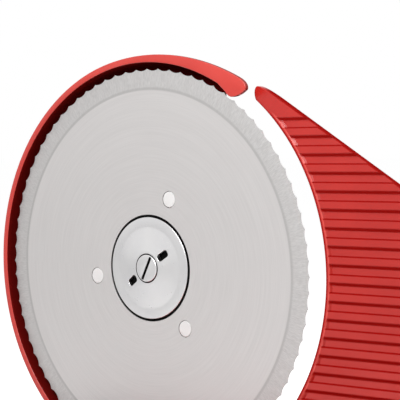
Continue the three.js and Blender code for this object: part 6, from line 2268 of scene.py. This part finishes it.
@dataclass
class Carriage:
    """The food carriage: sheet deck, sliders, upright wall and pusher."""

    left: float = 138.0
    right: float = 276.0
    near: float = -122.0
    far: float = -4.5
    top: float = -78.0
    sheet: float = 1.5
    lip: float = 9.0
    corner: float = 10.0
    grooves: int = 7
    margin: float = 14.0
    wall_inner: float = 272.0
    wall_top: float = 24.0
    rail_y: Point = RAIL_Y
    rail_z: float = RAIL_Z
    screw_inset: float = 7.0
    slider_lefts: Point = (162.0, 208.0)
    slider_length: float = 18.0
    slider_half: float = 7.0
    slider_drop: float = 6.2
    slider_bore: float = 4.1
    pusher_x: Point = (209.7, 271.7)
    pusher_far: float = -96.0
    pusher_sheet: float = 4.0
    ridges: int = 6
    knob_length: float = 28.0
    knob_radius: float = 15.0
    pusher_low: float = -68.4
    saddle_low: float = 24.3
    saddle_top: float = 27.3

    def build(self, shop: Shop) -> None:
        """Makes and delivers the carriage's pieces and the pusher's."""
        shop.deliver(self.deck(), "food_deck", Slot.STEEL, Body.CARRIAGE, "carriage_deck")
        spots = [(left, y) for y in self.rail_y for left in self.slider_lefts]
        for i, (left, y) in enumerate(spots, 1):
            shop.deliver(self.slider(left, y), f"rail_slider_{i}", Slot.BLACK, Body.CARRIAGE)
        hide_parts("slider_1", "slider_2", "slider_3", "slider_4")
        shop.deliver(self.wall(), "upright_wall", Slot.BLACK, Body.CARRIAGE, "carriage_wall")
        for i, y in enumerate(self.screw_places(), 1):
            shop.deliver(self.screw(y), f"pan_head_screw_{i}", Slot.STEEL, Body.CARRIAGE, f"wall_screw_{i}")
        shop.deliver(self.pusher(), "food_pusher", Slot.BLACK, Body.PUSHER, "pusher")
        shop.deliver(self.knob(), "pusher_grip", Slot.BLACK, Body.PUSHER, "pusher_knob")

    def screw_places(self) -> list[float]:
        """Where the wall's screws stand along y."""
        reach = self.far - self.near
        return [self.near + reach / 4, self.far - reach / 4]

    def screw_holes(self, low: float, high: float) -> list[Solid]:
        """The space of the wall's screws between two heights."""
        x = self.wall_inner - self.screw_inset
        return [Bench.post(2.2, low, high, x, y, 20) for y in self.screw_places()]

    def deck(self) -> Solid:
        """The deck: a sheet with turned-down edges and pressed grooves.

        Returns:
            The deck.
        """
        box = lambda i: rounded_box(
            self.left + i, self.near + i, self.right - i, self.far - i, self.corner - i, 10
        )
        deck = Bench.raised(box(0), self.top - self.lip, self.top)
        Bench.rim_eased(deck, 1.2, 4, Axis.UPRIGHT, self.top)
        low = self.top - self.lip - OVERRUN
        Bench.cut(deck, Bench.raised(box(self.sheet), low, self.top - self.sheet))
        margin = self.margin
        span = self.wall_inner - margin - self.left - 2 * margin
        for i in range(self.grooves):
            x = self.left + margin + span * i / (self.grooves - 1)
            groove = rounded_box(x - 1, self.near + margin, x + 1, self.far - margin, 0.99, 6)
            Bench.cut(deck, Bench.raised(groove, self.top - 0.5, self.top + OVERRUN))
        return Bench.cut(deck, *self.screw_holes(self.top - 4, self.top + OVERRUN))

    def slider(self, left: float, y: float) -> Solid:
        """A slider under the deck, bored for its rail.

        Args:
            left: Its left end.
            y: Where its rail lies along y.

        Returns:
            The slider.
        """
        top = self.top - self.sheet - SEAT_GAP
        half, right = self.slider_half, left + self.slider_length
        outline = rounded_box(y - half, self.rail_z - self.slider_drop, y + half, top, 2, 5)
        slider = Bench.eased(Bench.sideways(outline, left, right), 0.7, 3)
        start, end, radius = left - OVERRUN, right + OVERRUN, self.slider_bore
        bore = [(0, start), (radius, start), (radius, end), (0, end)]
        return Bench.cut(slider, Bench.spun(bore, (y, self.rail_z), Axis.ALONG, 40))

    def wall(self) -> Solid:
        """The upright wall with its foot and the flange that guards the thumb.

        Returns:
            The wall.
        """
        near, far, low = self.near + SEAT_GAP, self.far - SEAT_GAP, self.top + SEAT_GAP
        corners = [(near, low, 0), (far, low, 0), (far, self.wall_top, 3), (near, self.wall_top, 26)]
        wall = Bench.sideways(rounded(corners, 12), self.wall_inner, self.right)
        Bench.eased(wall, 0.8, 3)
        reach = self.right + 30
        outline = rounded([
            (self.wall_inner + 1, low, 0), (reach, low, 9), (reach, self.wall_top - 18, 18),
            (self.wall_inner + 1, self.wall_top - 3, 0),
        ], 12)
        flange = Bench.eased(Bench.slab(outline, far - 3, far), 0.7, 3)
        foot_left = self.wall_inner - self.margin
        foot_box = rounded_box(foot_left, near + 26, self.wall_inner + 2, far - 26, 2.4)
        foot = Bench.eased(Bench.raised(foot_box, low, low + 5), 0.7, 3)
        Bench.joined(wall, flange, foot)
        return Bench.cut(wall, *self.screw_holes(low - OVERRUN, low + 6))

    def screw(self, y: float) -> Solid:
        """A pan head screw with its cross recess.

        Args:
            y: Where it stands along y.

        Returns:
            The screw.
        """
        low = self.top + 2 * SEAT_GAP + 5
        top = low + 1.8
        dome = [(3.6, low + 0.6), (3.3, low + 1.2), (2.6, low + 1.6), (1.4, top - 0.03)]
        profile = [(0, top - 12), (1.9, top - 12), (1.9, low), (3.6, low), *dome, (0, top)]
        x = self.wall_inner - self.screw_inset
        screw = Bench.spun(profile, (x, y), Axis.UPRIGHT, 40)
        slots = [rounded_box(x - a, y - b, x + a, y + b, 0.2, 2) for a, b in ((1.7, 0.35), (0.35, 1.7))]
        return Bench.cut(screw, *(Bench.raised(slot, top - 0.8, top + 1) for slot in slots))

    def pusher(self) -> Solid:
        """The pusher: a ridged panel that hangs from a saddle on the wall's top.

        Returns:
            The pusher.
        """
        left, right = self.pusher_x
        far, near = self.pusher_far, self.pusher_far - self.pusher_sheet
        corners = [
            (left, self.pusher_low, 9), (right, self.pusher_low, 9), (right, self.saddle_top, 0),
            (left, self.saddle_top, 9),
        ]
        panel = Bench.eased(Bench.slab(rounded(corners), near, far), 0.8, 3)
        for i in range(self.ridges):
            x = left + (right - left) * (i + 1) / (self.ridges + 1)
            ridge = rounded([(x - 1.5, far - 1, 0), (x + 1.5, far - 1, 0), (x, far + 2.5, 0.5)], 3)
            Bench.joined(panel, Bench.raised(ridge, self.pusher_low + 9, self.saddle_top - 9))
        rest = self.right + SEAT_GAP
        seat, top, hook = self.saddle_low, self.saddle_top, self.saddle_low - 14
        saddle = rounded([
            (right - 9, seat, 0), (rest, seat, 0), (rest, hook, 0), (rest + 3, hook, 0.8),
            (rest + 3, top, 1.5), (right - 9, top, 0),
        ], 5)
        web = rounded_box(right - 3, hook, right, top - 0.2, 0)
        Bench.joined(panel, Bench.eased(Bench.slab(saddle, far - 22, far - 0.4), 0.5, 2))
        Bench.joined(panel, Bench.slab(web, far - 21.8, near + 1))
        x, z = (left + right) / 2, (self.pusher_low + self.saddle_top) / 2
        return Bench.cut(panel, Bench.pin(2.5, near - 1, near + 2, x, z, 24))

    def knob(self) -> Solid:
        """The pusher's mushroom grip.

        Returns:
            The grip.
        """
        left, right = self.pusher_x
        seat = self.pusher_far - self.pusher_sheet - SEAT_GAP
        end, rise = seat - self.knob_length, self.knob_radius / 2
        crown = reversed(dome(self.knob_radius, end + rise, -rise))
        neck = [
            (self.knob_radius, end + 11), (14.2, end + 13.6), (11.8, end + 16.4), (9.4, end + 19.2),
            (8.2, end + 22), (8.4, end + 25), (9.6, end + 27.4), (10, seat),
            (2.2, seat), (2.2, seat + 2.15), (0, seat + 2.15),
        ]
        centre = ((left + right) / 2, (self.pusher_low + self.saddle_top) / 2)
        return Bench.spun([(0, end), *crown, *neck], centre, Axis.ACROSS, 64)


# The studio


@dataclass
class Studio:
    """The floor, the soft light and the camera."""

    azimuth: float = 40.857
    elevation: float = 2.232
    roll: float = -0.803
    distance: float = 718.33
    focal_pixels: float = 1550.7
    frame_pixels: float = 400.0
    sensor: float = 36.0
    target: tuple[float, float, float] = (32.42, 0.0, 33.01)
    world_light: float = 0.35
    floor_glow: float = 0.68
    floor_mirrored: float = 0.45
    lamps: tuple[tuple[str, float, float, float, float, float], ...] = (
        ("key", 20.0, 38.0, 594.0, 350.0, 2.9),
        ("top", 20.0, 72.0, 1500.0, 1400.0, 2.0),
        ("back", 150.0, 35.0, 1600.0, 1400.0, 5.0),
    )

    def build(self) -> None:
        """Sets the stage."""
        self.camera()
        self.world()
        self.floor()
        for lamp in self.lamps:
            self.lamp(*lamp)
        bpy.context.scene.view_settings.view_transform = "Standard"

    def camera(self) -> None:
        """Sets the camera at the photograph's place."""
        a, e, roll = (math.radians(v) for v in (self.azimuth, self.elevation, self.roll))
        ahead = Vector((-math.sin(a) * math.cos(e), math.cos(a) * math.cos(e), -math.sin(e)))
        right = Vector((math.cos(a), math.sin(a), 0))
        up = right.cross(ahead)
        side = math.cos(roll) * right + math.sin(roll) * up
        rise = -math.sin(roll) * right + math.cos(roll) * up
        data = bpy.data.cameras.new("camera")
        camera = bpy.data.objects.new("camera", data)
        bpy.context.scene.collection.objects.link(camera)
        data.sensor_width = self.sensor
        data.lens = self.focal_pixels * self.sensor / self.frame_pixels
        data.clip_start, data.clip_end = 0.01, 60.0
        basis = Matrix((side, rise, -ahead)).transposed().to_4x4()
        camera.matrix_world = Matrix.Translation(place(*self.target) - ahead * self.distance * MM) @ basis
        bpy.context.scene.camera = camera

    def world(self) -> None:
        """An even pale surround that a mirror or the camera sees as white."""
        board = Board(bpy.data.worlds.new("surround"))
        bpy.context.scene.world = board.owner
        path = board.node("ShaderNodeLightPath", {}, {})
        plain, white = (
            board.node("ShaderNodeBackground", {}, {"Color": (1, 1, 1, 1), "Strength": strength}).outputs[0]
            for strength in (self.world_light, 1.0)
        )
        seen = Sum(board, path.outputs["Is Camera Ray"])
        for ray in ("Is Transmission Ray", "Is Glossy Ray"):
            seen = seen.larger(Sum(board, path.outputs[ray]))
        shown = board.node("ShaderNodeMixShader", {}, {0: seen, 1: plain, 2: white}).outputs[0]
        board.node("ShaderNodeOutputWorld", {}, {"Surface": shown})

    def floor(self) -> None:
        """A pale floor that keeps the machine's shadow."""
        Bench.clear()
        bpy.ops.mesh.primitive_plane_add(size=24, location=(0, 0, 0))
        floor = bpy.context.object
        floor.name = "floor"
        board = Board(bpy.data.materials.new("pale_floor"))
        light = board.node("ShaderNodeLightPath", {}, {})
        diffuse = board.node("ShaderNodeBsdfDiffuse", {}, {"Color": (0.9, 0.9, 0.9, 1)})
        glow = board.node("ShaderNodeEmission", {}, {"Color": (1, 1, 1, 1), "Strength": self.floor_glow})
        both = board.node("ShaderNodeAddShader", {}, {0: diffuse.outputs[0], 1: glow.outputs[0]})
        mirrored = Sum(board, light.outputs["Is Glossy Ray"]) * self.floor_mirrored
        seen = Sum(board, light.outputs["Is Camera Ray"]) + mirrored
        shown = board.node("ShaderNodeMixShader", {}, {0: seen, 1: diffuse.outputs[0], 2: both.outputs[0]})
        board.node("ShaderNodeOutputMaterial", {}, {"Surface": shown.outputs[0]})
        floor.data.materials.append(board.owner)

    def lamp(
        self, name: str, azimuth: float, elevation: float, distance: float, size: float, power: float
    ) -> None:
        """Hangs a square soft lamp that faces the blade.

        Args:
            name: The lamp's name.
            azimuth: Its bearing round the machine; 0 is the food side and 90 the user's end.
            elevation: Its height angle.
            distance: How far it hangs from the blade, in millimetres.
            size: The side of its square, in millimetres.
            power: Its power in watts.
        """
        a, e = math.radians(azimuth), math.radians(elevation)
        away = Vector((math.sin(a) * math.cos(e), -math.cos(a) * math.cos(e), math.sin(e)))
        data = bpy.data.lights.new(name, "AREA")
        data.size = size * MM
        data.energy = power
        lamp = bpy.data.objects.new(name, data)
        bpy.context.scene.collection.objects.link(lamp)
        lamp.location = place(30, 0, 0) + away * distance * MM
        lamp.rotation_euler = away.to_track_quat("Z", "Y").to_euler()


def main() -> None:
    """Builds the stage and every sub-assembly."""
    logging.basicConfig(level=logging.INFO, format="%(message)s")
    Studio().build()
    shop = Shop(Finishes())
    for assembly in (BladeUnit(), Housing(), GuidePlate(), Adjuster(), Base(), Crank(), Carriage()):
        assembly.build(shop)
    shop.carry_over()
    log.info("%d pieces", shop.count)
    bpy.context.view_layer.update()


if __name__ == "__main__":
    main()
